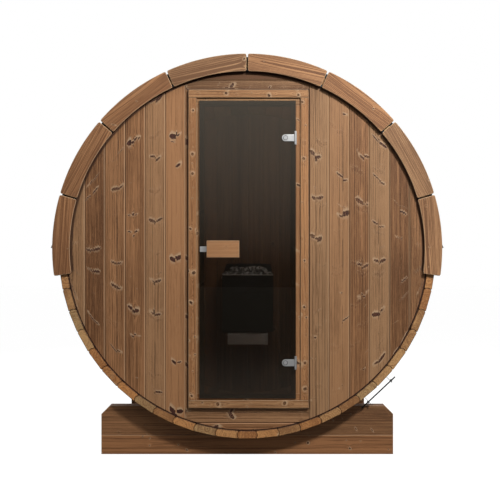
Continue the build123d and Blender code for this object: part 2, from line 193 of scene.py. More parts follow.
def log_grain(board, log, pith_aside=0.03, pith_nearest=0.002, pith_farthest=0.045, ring=0.0024,
              whorl=0.42, knottiness=0.7, spiral=1.0, branches=6.0, knot_size=0.006, growth=0.15,
              reach=1.0):
    """Rings, knots, pith and fibres at a point of a board.

    The pith lies at a random place within the given limits, aside from the board's middle and
    behind its face. A ring is as wide as one year's growth, a whorl as tall as the space between
    two rounds of branches, and the branches reach as far as they stayed alive.
    """
    across, deep, along = apart(board)
    first, second, tone = chance(log * 311.0, 2.0, 5.0)
    hue, _, _ = chance(log * 173.0, 8.0, 1.0)
    wander = mottle(together(log * 17.0, along * 0.9, first * 9.0), 1.0)
    wander_deep = mottle(together(log * 29.0, along * 0.8, second * 9.0), 1.0)
    aside = (first - 0.5) * 2 * pith_aside + (wander - 0.5) * 0.022
    depth = second * second * (pith_farthest - pith_nearest) + pith_nearest
    wavy = mottle(together(across + log * 3.0, deep, along * 0.22), 26.0)
    x = across - aside + (wavy - 0.5) * 0.006
    y = deep - (depth + (wander_deep - 0.5) * 0.012)
    radius = (x * x + y * y).math("SQRT")
    turn = y.math("ARCTAN2", x) / (2 * pi)
    rough = (mottle(board, 160.0) - 0.5) * 0.5

    cores, rims, bulges = [], [], []
    for kind in ((1.0, whorl, branches, knot_size, growth, 0.5, knottiness),
                 (2.0, whorl * 0.41, 4.0, 0.0022, 0.06, 0.7, knottiness * 0.4)):
        near, thick, above = branch(radius, turn, along, log, *kind, spiral, reach)
        near = near + rough
        cores.append(near.step(0.85, 1.0, 1.0, 0.0))
        rims.append(near.step(1.2, 2.5, 1.0, 0.0) * above.step(-0.8, 0.8, 0.55, 1.0))
        bulges.append(thick * 2.6 / (near * near * 0.5 + 1))
    knot, halo = cores[0].greater(cores[1]), rims[0].greater(rims[1])

    years = (radius - (bulges[0] + bulges[1])) / ring
    years = years + (mottle(together(years * 0.23, log * 71.0, 0.0), 1.0, 1.0) - 0.5) * 2.2
    bands = mottle(together(years * 0.42, log * 57.0, along * 0.2), 1.0, 1.0)
    season = years.math("FRACT")
    latewood = season.step(0.35, 0.92) * season.step(0.93, 1.0, 1.0, 0.0)
    fibre = mottle(together(across * 420.0, deep * 420.0, along * 11.0), 1.0, 3.0, 0.65)
    streak = mottle(together(across * 170.0 + log * 50, deep * 170.0, along * 1.6), 1.0, 3.0)
    patch = mottle(together(across * 9.0 + log * 31, deep * 9.0, along * 1.3), 1.0)
    split = mottle(together(along * 5.0, log * 13.0, 0.0), 1.0)
    pith = radius.step(0.0008, 0.0034, 1.0, 0.0) * split.step(0.38, 0.55)
    height = latewood * 0.35 + fibre * 0.4 + knot * 0.8 - pith * 1.5
    return latewood, bands, knot, halo * (1 - knot), pith, fibre, streak, patch, tone, hue, height


def timber(name, pale, dark, knot_colour, roughness=0.6, spread=0.7, rings=0.4, hues=1.0,
           shade_lines=None, **grain):
    """Material of one kind of board: its palest and darkest wood and how it was cut from the log.

    The rings number tells how much darker the late wood is, spread how far the boards differ
    between pale and dark, and hues how far they differ between red and yellow. The function
    given for painted shade, if any, tells where the wood is darkened as painted shade.
    """
    material, place = surface(name)
    board_shading, edge, log = [wire(place.tree, "ShaderNodeAttribute", attribute_name=label, output="Fac")
                        for label in ("shade", "edge", "log")]
    board = wire(place.tree, "ShaderNodeAttribute", attribute_name="board", output="Vector")
    latewood, bands, knot, halo, pith, fibre, streak, patch, tone, hue, height = log_grain(
        board, log, **grain)
    shade = latewood * rings + (streak - 0.5) * 1.9 + (patch - 0.5) * 1.1 + (tone - 0.5) * spread
    # The shade mark darkens whole boards as painted shade where it is above 0, and lightens them
    # as painted light where it is below.
    shade = shade + (bands - 0.5) * 1.7 + (fibre - 0.5) * 1.5 + board_shading + 0.36
    lit, dim = [
        hue.mix([part * (1 + more * hues) for part, more in zip(colour, (0.04, -0.05, -0.12))],
                [part * (1 - more * hues) for part, more in zip(colour, (0.04, -0.04, -0.12))])
        for colour in (pale, dark)
    ]
    pale_halo_and_highlight = [part * 0.55 + more for part, more in zip(pale, (0.30, 0.24, 0.16))]
    deep_knot = [part * 0.5 for part in knot_colour]
    live_knot = [part * 1.5 for part in knot_colour]
    wood = shade.greater(0.0).lesser(1.0).mix(lit, dim)
    wood = (halo * 0.75).mix(wood, pale_halo_and_highlight)
    # Where the edge mark is above 0 the wood is painted pale: a painted highlight on arrises and
    # bevels.
    wood = (edge.greater(0.0) * 0.65).mix(wood, pale_halo_and_highlight)
    # Where it is below 0 the wood is darkened: painted shade in the joints, at the stave ends
    # partly stain of end grain.
    wood = (edge.lesser(0.0) * -0.85).mix(wood, knot_colour)
    # Painted shade lines from the function given, if any, darken the wood.
    if shade_lines:
        wood = shade_lines(place).mix(wood, deep_knot)
    wood = knot.mix(wood, fibre.step(0.4, 0.62).mix(deep_knot, live_knot))
    wood = (pith * 0.85).mix(wood, deep_knot)
    dull = latewood * -0.08 + fibre * 0.12 + (roughness - 0.05)
    return coat(material, (0.5, 0.0005, height), Base_Color=wood, Roughness=dull,
                Specular_IOR_Level=0.25)


# --------------------------------------------------
# Staves. Fifty-three planks 40 mm thick form the barrel. Each has a round bead along one edge
# that sits in the cove of the next, so that the ring closes without glue. The bottom one has
# two beads, and the ends are eased by hand.
# --------------------------------------------------


def no_board(point):
    """Place in a board of a point of something that isn't wood."""
    return 0.0, 0.0, 0.0


class Joinery:
    """The solids of one piece. Each carries the place of its points in its own log."""

    def __init__(self, *solids):
        self.points, self.faces, self.board, self.log, self.edge = [], [], [], [], []
        for solid in solids:
            self.add(solid)

    def add(self, solid, to_board=no_board, log=0.0):
        """to_board turns a point of the piece into (across, deep, along) of its board."""
        points, faces, edge = solid
        first = len(self.points)
        self.points += [tuple(point) for point in points]
        self.faces += [tuple(first + corner for corner in face) for face in faces]
        self.board += [tuple(to_board(point)) for point in points]
        self.log += [log] * len(points)
        self.edge += edge

    def mesh(self, own_logs=True):
        """The mesh. Copies that a geometry tree makes of it get their logs there."""
        mesh = bpy.data.meshes.new("joinery")
        mesh.from_pydata(self.points, [], self.faces)
        board = mesh.attributes.new("board", "FLOAT_VECTOR", "POINT")
        board.data.foreach_set("vector", [part for point in self.board for part in point])
        mesh.attributes.new("edge", "FLOAT", "POINT").data.foreach_set("value", self.edge)
        if own_logs:
            mesh.attributes.new("log", "FLOAT", "POINT").data.foreach_set("value", self.log)
        mesh.validate()
        return mesh


def finished(name, shape, material, nodes=(), body="barrel", sharp=35):
    """Puts joinery or a mesh in the scene as one piece that stands for these nodes."""
    mesh = shape.mesh() if isinstance(shape, Joinery) else shape
    mesh.materials.clear()
    mesh.materials.append(material)
    mesh.polygons.foreach_set("use_smooth", [True] * len(mesh.polygons))
    mesh.polygons.foreach_set("material_index", [0] * len(mesh.polygons))
    mesh.set_sharp_from_angle(angle=radians(sharp))
    piece = bpy.data.objects.new(name, mesh)
    scene.collection.objects.link(piece)
    even = piece.modifiers.new("even shading", "WEIGHTED_NORMAL")
    even.keep_sharp = True
    shaded = piece.evaluated_get(bpy.context.evaluated_depsgraph_get())
    piece.data = bpy.data.meshes.new_from_object(shaded)
    piece.modifiers.remove(even)
    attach(piece, body)
    if nodes:
        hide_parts(*nodes)


def shrunk(outline, amount):
    """The outline moved inwards by an amount. The outline runs anticlockwise."""
    result = []
    for count, point in enumerate(outline):
        before = (point - outline[count - 1]).normalized()
        after = (outline[(count + 1) % len(outline)] - point).normalized()
        inward = Vector((-before.y - after.y, before.x + after.x))
        inward = inward.normalized() if inward.length > 1e-6 else Vector((-before.y, before.x))
        spread = max(0.5, inward.dot(Vector((-before.y, before.x))))
        result.append(point + inward * (amount / spread))
    return result


def skin(rows, sides):
    """Faces of a solid whose points lie in rows of so many round it, its two ends closed."""
    faces = []
    for row in range(rows - 1):
        for count in range(sides):
            a, b = row * sides + count, row * sides + (count + 1) % sides
            faces.append((a, b, b + sides, a + sides))
    return faces + [tuple(range(sides))[::-1], tuple(range((rows - 1) * sides, rows * sides))]


# By default every rounded arris gets a painted highlight, which the timber shows as paler wood.
def planed(outline, front, back, ease, steps=3, arris=1.0, side=None, end_darkening=0.0):
    """Solid with an outline in X and Z between two values of Y, its front and rear arrises round.

    The arris number paints the rounding pale at 1, a painted highlight, and dark at -1, painted
    shade; side tells the same of a point of the sides, and the last number is how far in from
    each end the sides are darkened.
    """
    area = sum(a.x * b.y - b.x * a.y for a, b in zip(outline, outline[1:] + outline[:1]))
    outline = outline if area > 0 else outline[::-1]
    rows = []
    for part in range(steps + 1):
        angle = pi / 2 * part / steps
        rows.append((front + ease * (1 - cos(angle)), ease * (1 - sin(angle)),
                     arris if 0 < part < steps else None if part else 0.0))
    if end_darkening:
        rows.append((front + end_darkening, 0.0, 0.0))
    rows += [(front + back - y, inset, wear_and_edge_shading) for y, inset, wear_and_edge_shading in reversed(rows)]
    points, edge = [], []
    for y, inset, wear_and_edge_shading in rows:
        ring = shrunk(outline, inset) if inset > 1e-9 else outline
        points += [Vector((p.x, y, p.y)) for p in ring]
        edge += [side(p) if side and wear_and_edge_shading is None else wear_and_edge_shading or 0.0 for p in ring]
    return points, [face[::-1] for face in skin(len(rows), len(outline))], edge


def geometry_tree(name, **sockets):
    """An empty geometry tree's input wires in order, and a function that ends the tree.

    The names of the inputs are given for each kind of socket. The first is always the mesh.
    """
    tree = bpy.data.node_groups.new(name, "GeometryNodeTree")
    for kind, labels in {"Geometry": ["Geometry"], **sockets, "Material": ["Material"]}.items():
        for label in labels:
            tree.interface.new_socket(label, in_out="INPUT", socket_type=f"NodeSocket{kind}")
    tree.interface.new_socket("Geometry", in_out="OUTPUT", socket_type="NodeSocketGeometry")
    enter, leave = tree.nodes.new("NodeGroupInput"), tree.nodes.new("NodeGroupOutput")
    *given, material = [Wire(socket) for socket in enter.outputs if socket.name]

    def end(geometry):
        """Makes a real mesh of what the tree has made and gives it the material."""
        real = wire(tree, "GeometryNodeRealizeInstances", geometry)
        plug(wire(tree, "GeometryNodeSetMaterial", Geometry=real, Material=material),
             leave.inputs[0])
        return tree

    return given, end


def worked(mesh, tree, material, **values):
    """The plain mesh that a geometry tree makes of a mesh."""
    values = {"Centre_height": axis_height, "Material": material, **values}
    maker = bpy.data.objects.new("maker", mesh)
    scene.collection.objects.link(maker)
    modifier = maker.modifiers.new("work", "NODES")
    modifier.node_group = tree
    for item in tree.interface.items_tree:
        label = item.name.replace(" ", "_")
        if item.in_out == "INPUT" and label in values:
            modifier[item.identifier] = values[label]
    bpy.context.view_layer.update()
    settled = bpy.context.evaluated_depsgraph_get()
    result = bpy.data.meshes.new_from_object(maker.evaluated_get(settled),
                                             preserve_all_data_layers=True, depsgraph=settled)
    maker.modifiers.clear()
    bpy.data.objects.remove(maker)
    return result


def marked_copies(copies, seed, **numbers):
    """Keeps a random log number, and any numbers given, on each copy."""
    pick = wire(copies.tree, "FunctionNodeRandomValue", Seed=seed, output=1)
    for label, value in (("log", pick), *numbers.items()):
        copies = wire(copies.tree, "GeometryNodeStoreNamedAttribute", data_type="FLOAT",
                      domain="INSTANCE", Geometry=copies, Name=label, Value=value)
    return copies


def turned_copies():
    """Tree: copies of a piece turned in equal steps about the barrel's axis, each its own log."""
    (piece, copies, seed, first_turn, step, lift, first_shade, shade_step), end = geometry_tree(
        "turned copies", Int=["Copies", "Seed"],
        Float=["First turn", "Step", "Centre height", "First shade", "Shade step"])
    line = wire(piece.tree, "GeometryNodeMeshLine", Count=copies, Offset=(0.0, 0.0, 0.0))
    index = wire(piece.tree, "GeometryNodeInputIndex")
    placed = wire(piece.tree, "GeometryNodeInstanceOnPoints", Points=line, Instance=piece,
                  Rotation=together(0.0, index * step + first_turn, 0.0))
    marked = marked_copies(placed, seed, shade=index * shade_step + first_shade)
    return end(wire(piece.tree, "GeometryNodeTransform", Geometry=marked,
                    Translation=together(0.0, 0.0, lift)))


def stave_outline(half_angle, lower_bead, upper_bead, side):
    """Section of the stave that lies at the barrel's bottom, its upper edge on the given side."""
    outer = barrel_radius * cos(half_angle)
    inner = outer - stave_thickness
    outer_edge = barrel_radius - stave_notch
    inner_edge = inner / cos(half_angle) + stave_notch

    def edge(end, bead):
        """Shoulder, bead or cove, and shoulder of one edge, from the outside to the inside."""
        slant = Vector((end * cos(half_angle), sin(half_angle)))
        down = Vector((end * sin(half_angle), -cos(half_angle)))
        for part in range(9):
            share = part / 8
            radius = outer_edge + (inner_edge - outer_edge) * share
            swell = bead_height * sin(pi * share) ** 0.8
            yield down * radius + slant * ((swell if bead else -swell) - seam)

    outer_half = outer * tan(half_angle) - stave_notch
    inner_half = inner * tan(half_angle) - stave_notch
    right, left = (upper_bead, lower_bead) if side > 0 else (lower_bead, upper_bead)
    outline = [Vector((outer_half, -outer)), *edge(1, right), Vector((inner_half, -inner))]
    outline += [Vector((-inner_half, -inner)), *list(edge(-1, left))[::-1]]
    return [Vector((-outer_half, -outer)), *outline[::-1]]


def stave(half_angle, lower_bead, upper_bead, side, own_log=False):
    """One stave along the barrel, at the bottom and centred on the axis, its ends darkened: stain
    and painted shade.
    """
    joinery = Joinery()
    # End arrises and the sides near the ends are darkened: painted shade in the joints between
    # staves, partly stain of the end grain.
    joinery.add(planed(stave_outline(half_angle, lower_bead, upper_bead, side), front_y, rear_y,
                       end_easing, 3, -0.6, lambda point: -1.0, end_stain_and_shade),
                lambda p: (p[0], p[2] + barrel_radius, p[1]), 0.37)
    return joinery.mesh(own_log)


stave_low, stave_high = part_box("bottom_stave")
front_y, rear_y = stave_low.y, stave_high.y
axis_height = (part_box("front_band")[0].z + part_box("front_band")[1].z) / 2
bottom_flat = axis_height - stave_low.z
stave_thickness = stave_high.z - stave_low.z
stave_notch = 0.005
bead_height = 0.006
seam = 0.00015
end_easing, end_stain_and_shade = 0.0035, 0.009
staves_per_side = 26
bottom_half_width = 0.049
barrel_radius = sqrt(bottom_flat**2 + bottom_half_width**2)
bottom_half_angle = asin(bottom_half_width / barrel_radius)
stave_angle = (pi - bottom_half_angle) / staves_per_side

stave_wood = timber("stave wood", (0.60, 0.325, 0.128), (0.25, 0.115, 0.043),
                    (0.03, 0.0115, 0.005), spread=1.1, hues=2.4, pith_nearest=0.0,
                    pith_farthest=0.07, whorl=0.5)
turned = turned_copies()
right_and_left = ((1, "right"), (-1, "left"))
for side, name in right_and_left:
    shape = worked(stave(stave_angle / 2, False, True, side), turned, stave_wood,
                   Copies=staves_per_side, Step=-side * stave_angle,
                   First_turn=-side * (bottom_half_angle + stave_angle / 2), Seed=11 + side)
    finished(f"staves_{name}", shape, stave_wood,
             (f"staves_{name}_odd", f"staves_{name}_even"))
shape = stave(bottom_half_angle, True, True, 1, True)
shape.transform(Matrix.Translation((0, 0, axis_height)))
finished("stave_bottom", shape, stave_wood, ("bottom_stave",))

# --------------------------------------------------
# Cradles. Each of the two is a base board 104 mm high on the ground with two saddle boards
# glued on it, all sawn to the barrel's round. The barrel lies in them by its own weight.
# --------------------------------------------------


def lengthwise(x, face, z):
    """Board coordinates of timber that lies along X, from the middle of its outer face."""
    return lambda point: (point[2] - z, abs(point[1] - face), point[0] - x)


def upright(x, face, z):
    """Board coordinates of timber that stands upright, from the middle of its outer face."""
    return lambda point: (point[0] - x, abs(point[1] - face), point[2] - z)


def round_cut(left, right, steps):
    """Points of the barrel's underside from left to right, for timber sawn to fit it."""
    return [
        Vector((x, axis_height - sqrt(cut_radius**2 - x**2)))
        for x in (left + (right - left) * part / steps for part in range(steps + 1))
    ]


cradle_fit = 0.0003
cut_radius = barrel_radius + cradle_fit
cradle_arris = 0.003
cradle_corner = 0.045
cradle_wood = timber("cradle wood", (0.36, 0.167, 0.069), (0.13, 0.055, 0.0215),
                     (0.03, 0.0113, 0.005), pith_nearest=0.02, pith_farthest=0.06, whorl=0.3,
                     knottiness=0.8, knot_size=0.0035, growth=0.03)
for end, log in (("front", 0.52), ("rear", 0.81)):
    base_low, base_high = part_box(f"{end}_cradle_base")
    low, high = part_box(f"{end}_cradle_saddle")
    half, joint, top = base_high.x, base_high.z, high.z
    dip = sqrt(cut_radius**2 - (axis_height - joint) ** 2)
    seat = sqrt(cut_radius**2 - (axis_height - top) ** 2)
    base = [Vector((-half, 0.0)), Vector((half, 0.0)), Vector((half, joint))]
    base += round_cut(-dip, dip, 12)[::-1] + [Vector((-half, joint))]
    cradle = Joinery()
    cradle.add(planed(base, base_low.y, base_high.y, cradle_arris),
               lengthwise(0.0, base_low.y, (base_low.z + base_high.z) / 2), log)
    for side in (-1, 1):
        saddle = round_cut(dip, seat, 16)[::-1]
        saddle += [Vector((half, joint)), Vector((half, top - cradle_corner)),
                   Vector((half - cradle_corner, top))]
        saddle = [Vector((side * point.x, point.y)) for point in saddle]
        cradle.add(planed(saddle, low.y, high.y, cradle_arris),
                   lengthwise(0.0, low.y, (base_high.z + high.z) / 2), log + 0.13 * side)
    finished(f"{end}_cradle", cradle, cradle_wood,
             (f"{end}_cradle_base", f"{end}_cradle_saddle"))

# --------------------------------------------------
# End walls. Boards 42 mm thick and 108 mm wide, tongued and grooved, bevelled along both faces
# so that each joint shows as a V. They stand upright, except that short ones lie across over
# and under the door. All are cut round and sit in a groove of the staves.
# --------------------------------------------------


def rectangle(left, right, low, high):
    """Outline of an upright rectangle, anticlockwise."""
    return [Vector((left, low)), Vector((right, low)), Vector((right, high)), Vector((left, high))]


def front_of(low, high):
    """Outline of the front of a box."""
    return rectangle(low.x, high.x, low.z, high.z)


def board_section():
    """Section of a tongued and grooved board: across and deep, tongue on the low side."""
    half, face, back = board_pitch / 2 - 0.0002, board_pitch / 2 - bevel_width, wall_thickness
    flat, steps = face - 0.0008, 8
    front = [(-flat + 2 * flat * part / steps, 0.0) for part in range(steps + 1)]
    front = [(-face, 0.0), *front, (face, 0.0)]
    groove = [(half, bevel_depth), (half, 0.0165), (half - 0.0076, 0.0165),
              (half - 0.0076, 0.0255), (half, 0.0255), (half, back - bevel_depth)]
    tongue = [(-half, back - bevel_depth), (-half, 0.025), (-half - 0.007, 0.025),
              (-half - 0.007, 0.017), (-half, 0.017), (-half, bevel_depth)]
    return front + groove + [(across, back) for across, _ in reversed(front)] + tongue


def wall_board(length, rows, lying, depth, face):
    """One board, centred on the barrel's axis, from a depth on; face is its outer face's depth.

    The bevels of a board, and the groove side of an upright one, are painted pale: a painted
    highlight. The tongue side of an upright board, and both sides of a lying one, are darkened:
    painted shade in the joints.
    """
    section, points = board_section(), []
    for row in range(rows + 1):
        along = -length / 2 + length * row / rows
        points += [(along, depth + deep, across) if lying else (across, depth + deep, along)
                   for across, deep in section]
    faces = skin(rows + 1, len(section))
    if lying:
        faces = [corners[::-1] for corners in faces]
    flat, lip = board_pitch / 2 - bevel_width - 0.0005, board_pitch / 2 - 0.001
    # Painted highlight on the bevels and the groove side; painted shade on the tongue side and on
    # the sides of lying boards.
    edge = [(-0.7 if across < 0 or lying else 0.45) if abs(across) > lip else
            0.75 * (abs(across) > flat and not 0.01 < deep < wall_thickness - 0.01)
            for across, deep in section] * (rows + 1)
    joinery = Joinery()
    joinery.add((points, faces, edge), (lengthwise if lying else upright)(0.0, face, 0.0))
    return joinery.mesh(False)


def laid_boards():
    """Tree: boards side by side in a row, each from its own log."""
    (board, boards, seed, first, pitch, shade), end = geometry_tree(
        "laid boards", Int=["Boards", "Seed"], Vector=["First", "Pitch"], Float=["Shade"])
    line = wire(board.tree, "GeometryNodeMeshLine", Count=boards, Start_Location=first,
                Offset=pitch)
    placed = wire(board.tree, "GeometryNodeInstanceOnPoints", Points=line, Instance=board)
    return end(marked_copies(placed, seed, shade=shade))


def cut_round():
    """Tree: cuts boards to the barrel's inside and between two levels, then lifts them."""
    (boards, radius, lowest, highest, lift), end = geometry_tree(
        "cut round", Float=["Radius", "Lowest", "Highest", "Centre height"])
    x, y, z = apart(wire(boards.tree, "GeometryNodeInputPosition"))
    widest = radius - 0.003
    x = x.lesser(widest).greater(widest * -1)
    reach = (radius * radius - x * x).math("SQRT")
    z = z.lesser(reach.lesser(highest)).greater((reach * -1).greater(lowest))
    cut = wire(boards.tree, "GeometryNodeSetPosition", Geometry=boards,
               Position=together(x, y, z + lift))
    return end(wire(boards.tree, "GeometryNodeMergeByDistance", Geometry=cut, Distance=weld))


def painted_shade_lines(place):
    """Painted shade on the wall faces: a dark line at the barrel's round, and painted shadow under
    the fascia and beside the frame.
    """
    x, y, z = apart(place)
    z = z - axis_height
    wall_middle, half_depth = (wall_front + back_high.y) / 2, (back_high.y - wall_front) / 2
    outside = (y - wall_middle).math("ABSOLUTE").step(half_depth - 0.008, half_depth - 0.006)
    rim = (x * x + z * z).math("SQRT").step(wall_radius - 0.0085, wall_radius - 0.0045)
    beside = (x - (frame_left + frame_right) / 2).math("ABSOLUTE") - (frame_right - frame_left) / 2
    above = (z - (frame_bottom + frame_top) / 2).math("ABSOLUTE") - (frame_top - frame_bottom) / 2
    by_frame = beside.greater(above).step(0.004, 0.012, 0.8, 0.0)
    by_frame = by_frame * y.math("LESS_THAN", wall_middle)
    up = z + (axis_height - fascia_centre)
    under_fascia = (x * x + up * up).math("SQRT").step(fascia_inner - 0.013, fascia_inner - 0.004)
    under_fascia = under_fascia * up.step(fascia_end, fascia_end + 0.02) * 0.8
    return outside * rim.greater(under_fascia).greater(by_frame)


def boarding(name, solid, board, boards, first, pitch, seed, shade=0.0, lowest=-2.0, highest=2.0):
    """A run of wall boards as one piece, cut to the barrel's round and between two levels."""
    laid = worked(board, laying, wall_wood, Boards=boards, First=first, Pitch=pitch, Shade=shade,
                  Seed=seed)
    cut = worked(laid, cutting, wall_wood, Radius=wall_radius, Lowest=lowest, Highest=highest)
    finished(name, cut, wall_wood, (solid,))


over_low, over_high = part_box("front_wall_over_door")
back_low, back_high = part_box("back_wall")
frame_top = over_low.z - axis_height
frame_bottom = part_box("front_wall_under_door")[1].z - axis_height
frame_left, frame_right = over_low.x, over_high.x
wall_radius = bottom_flat - stave_thickness - 0.0006
wall_thickness = back_high.y - back_low.y
wall_front = over_low.y
fascia_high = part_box("front_fascia_right")[1]
fascia_outer = fascia_high.x
fascia_inner = fascia_outer - 0.094
fascia_centre = fascia_high.z - fascia_outer
fascia_end = -0.13
board_pitch = 0.108
bevel_width, bevel_depth = 0.005, 0.004
column_half = 0.331
over_joint, under_joint = 0.910, -0.926
weld = 0.00005

# The wall wood gets painted shade at the barrel's round, and painted shadow under the fascia and
# beside the frame.
wall_wood = timber("wall wood", (0.38, 0.194, 0.0871), (0.11, 0.047, 0.0175),
                   (0.05, 0.0155, 0.009), spread=0.95, shade_lines=painted_shade_lines,
                   pith_nearest=-0.001, pith_farthest=0.012, pith_aside=0.018, whorl=0.36,
                   knottiness=0.8, knot_size=0.012, reach=0.040, spiral=0.25)
laying, cutting = laid_boards(), cut_round()
board_length = 2.0
first_board = column_half + board_pitch / 2
standing = wall_board(board_length, 1, False, wall_front, wall_front)
across_door = wall_board(2 * column_half, 24, True, wall_front, wall_front)
standing_rear = wall_board(board_length, 1, False, back_low.y, back_high.y)
# A run's shade number darkens its boards above 0 and lightens them below. The left run is a little
# lighter, painted light; the run over the door is darker, partly darker boards and partly painted
# shadow under the fascia; the run under the door is darker, painted shade low down.
boarding("wall_boards_left", "front_wall_left", standing, 6, (-first_board, 0, 0),
         (-board_pitch, 0, 0), 5, -0.07)
boarding("wall_boards_right", "front_wall_right", standing, 6, (first_board, 0, 0),
         (board_pitch, 0, 0), 8)
boarding("wall_boards_over_door", "front_wall_over_door", across_door, 2,
         (0, 0, over_joint - board_pitch / 2), (0, 0, board_pitch), 3, 0.6, lowest=frame_top)
boarding("wall_boards_under_door", "front_wall_under_door", across_door, 2,
         (0, 0, under_joint + board_pitch / 2), (0, 0, -board_pitch), 4, 0.12,
         highest=frame_bottom)
boarding("wall_boards_rear", "back_wall", standing_rear, 18, (-8.5 * board_pitch, 0, 0),
         (board_pitch, 0, 0), 21)

strips = Joinery()
strip_easing = 0.0005
for left, right in ((-column_half, frame_left), (frame_right, column_half)):
    strip = rectangle(left, right, axis_height + frame_bottom, axis_height + frame_top)
    strips.add(planed(strip, wall_front, wall_front + wall_thickness, strip_easing, 1),
               upright((left + right) / 2, wall_front, 0.0), 0.44)
finished("wall_strips", strips, wall_wood)

# --------------------------------------------------
# Curved fascia. Eight boards at each end hide the joint between staves and wall and carry the
# edge of the roof. Each is sawn to the curve from a straight plank, so the grain runs straight
# through it, and its edges are rounded over and its corners cut round.
# --------------------------------------------------


def eased_outline(corners, radius, steps=3):
    """Closed outline in a plane with its corners rounded, by one radius or one for each."""
    outline = []
    for count, corner in enumerate(corners):
        here = Vector(corner)
        back = Vector(corners[count - 1]) - here
        ahead = Vector(corners[(count + 1) % len(corners)]) - here
        r = radius[count] if isinstance(radius, list) else radius
        if r <= 0:
            outline.append(here)
            continue
        cut = min(r / tan(back.angle(ahead) / 2), 0.49 * back.length, 0.49 * ahead.length)
        start, end = here + back.normalized() * cut, here + ahead.normalized() * cut
        for part in range(steps + 1):
            t = part / steps
            outline.append(start * (1 - t) ** 2 + here * 2 * t * (1 - t) + end * t * t)
    return outline


def fascia_board(front, back):
    """The board at the top of the ring, centred on the barrel's axis, its joint faces and inner
    side darkened.
    """
    half, steps = fascia_angle / 2, 20
    corners, radii = [], []
    for radius, order in ((fascia_outer, 1), (fascia_inner, -1)):
        reach = half - asin(fascia_joint / 2 / radius)
        turns = [order * reach * (1 - 2 * part / steps) for part in range(steps + 1)]
        corners += [(radius * sin(turn), radius * cos(turn)) for turn in turns]
        radii += [fascia_corner] + [0] * (steps - 1) + [fascia_corner]
    darkened_from, middle = tan(half - 0.008), (fascia_inner + fascia_outer) / 2
    board = Joinery()
    # Its rounded arrises are painted pale, a painted highlight. Its joint faces and inner side are
    # darkened: painted shade in the joints and under the inner edge, partly the darker colour of
    # end grain.
    board.add(planed(eased_outline(corners, radii, 5), front, back, fascia_rounding, 4,
                     side=lambda p: -float(abs(p.x) > p.y * darkened_from or p.length < middle)),
              lengthwise(0.0, front, middle))
    return board.mesh(False)


fascia_boards = 8
fascia_angle = radians(24.575)
fascia_joint = 0.008
fascia_corner = 0.017
fascia_rounding = 0.0035
fascia_wood = timber("fascia wood", (0.51, 0.27, 0.125), (0.17, 0.076, 0.032),
                     (0.06, 0.0227, 0.0091), spread=0.15, rings=1.15, pith_nearest=0.012,
                     pith_farthest=0.06, pith_aside=0.05, whorl=0.5, knottiness=0.5, ring=0.005,
                     knot_size=0.004, growth=0.03)
for end, seed in (("front", 2), ("rear", 9)):
    low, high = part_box(f"{end}_fascia_right")
    # The boards step from darker on the left to lighter on the right: painted shade, lighter
    # towards the key lamp.
    shape = worked(fascia_board(low.y, high.y), turned, fascia_wood, Copies=fascia_boards,
                   First_turn=(1 - fascia_boards) / 2 * fascia_angle, Step=fascia_angle,
                   First_shade=0.27, Shade_step=-0.06, Centre_height=fascia_centre, Seed=seed)
    finished(f"{end}_fascia", shape, fascia_wood,
             (f"{end}_fascia_left", f"{end}_fascia_right"))

# --------------------------------------------------
# Door frame. Four members of planed spruce run through the wall and form the stop that the
# glass closes against. A casing 43 mm wide stands 20 mm proud of the wall round them.
# --------------------------------------------------


def frame_member(name, casing, stop, to_board, log):
    """Casing and stop of one side of the door, as one piece."""
    x, z = (casing[0] + casing[1]) / 2, (casing[2] + casing[3]) / 2
    member = Joinery()
    member.add(planed(eased_outline(rectangle(*casing), 0.001, 2), casing_front, stop_front,
                      casing_rounding), to_board(x, casing_front, z), log)
    member.add(planed(rectangle(*stop), stop_front, frame_back, stop_rounding, 2),
               to_board(x, stop_front, z), log + 0.31)
    finished(f"{name}_timber", member, frame_wood, (name,))


head_low, head_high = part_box("door_head")
sill_low, sill_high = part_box("door_sill")
jamb_low, jamb_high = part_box("door_jamb_left")
hinge_jamb_low, hinge_jamb_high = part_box("door_jamb_right")
casing_front, frame_back = head_low.y, head_high.y
stop_front = casing_front + 0.012
casing_width = 0.043
casing_rounding, stop_rounding = 0.0025, 0.0012
clear_left, clear_right = jamb_high.x, hinge_jamb_low.x
clear_bottom, clear_top = sill_high.z, head_low.z
casing_low, casing_high = sill_low.z + casing_width, head_high.z - casing_width
frame_wood = timber("frame wood", (0.47, 0.245, 0.108), (0.21, 0.093, 0.0355),
                    (0.06, 0.0227, 0.0091), spread=0.15, rings=0.7, pith_nearest=0.018,
                    pith_farthest=0.03, pith_aside=0.004, whorl=0.17, knottiness=0.95,
                    spiral=0.15, branches=4.0, knot_size=0.009, growth=0.03)
frame_member("door_head", (head_low.x, head_high.x, casing_high, head_high.z),
             (head_low.x, head_high.x, clear_top, head_high.z), lengthwise, 0.12)
frame_member("door_sill", (head_low.x, head_high.x, sill_low.z, casing_low),
             (head_low.x, head_high.x, sill_low.z, clear_bottom), lengthwise, 0.47)
frame_member("door_jamb_left", (jamb_low.x, jamb_low.x + casing_width, casing_low, casing_high),
             (jamb_low.x, clear_left, clear_bottom, clear_top), upright, 0.68)
frame_member("door_jamb_right",
             (hinge_jamb_high.x - casing_width, hinge_jamb_high.x, casing_low, casing_high),
             (clear_right, hinge_jamb_high.x, clear_bottom, clear_top), upright, 0.91)

# --------------------------------------------------
# Roof covering. Bitumen shingles with slate granules are nailed over the upper half, each row
# half a tab out of step with the one below it. Short caps close the top.
# --------------------------------------------------


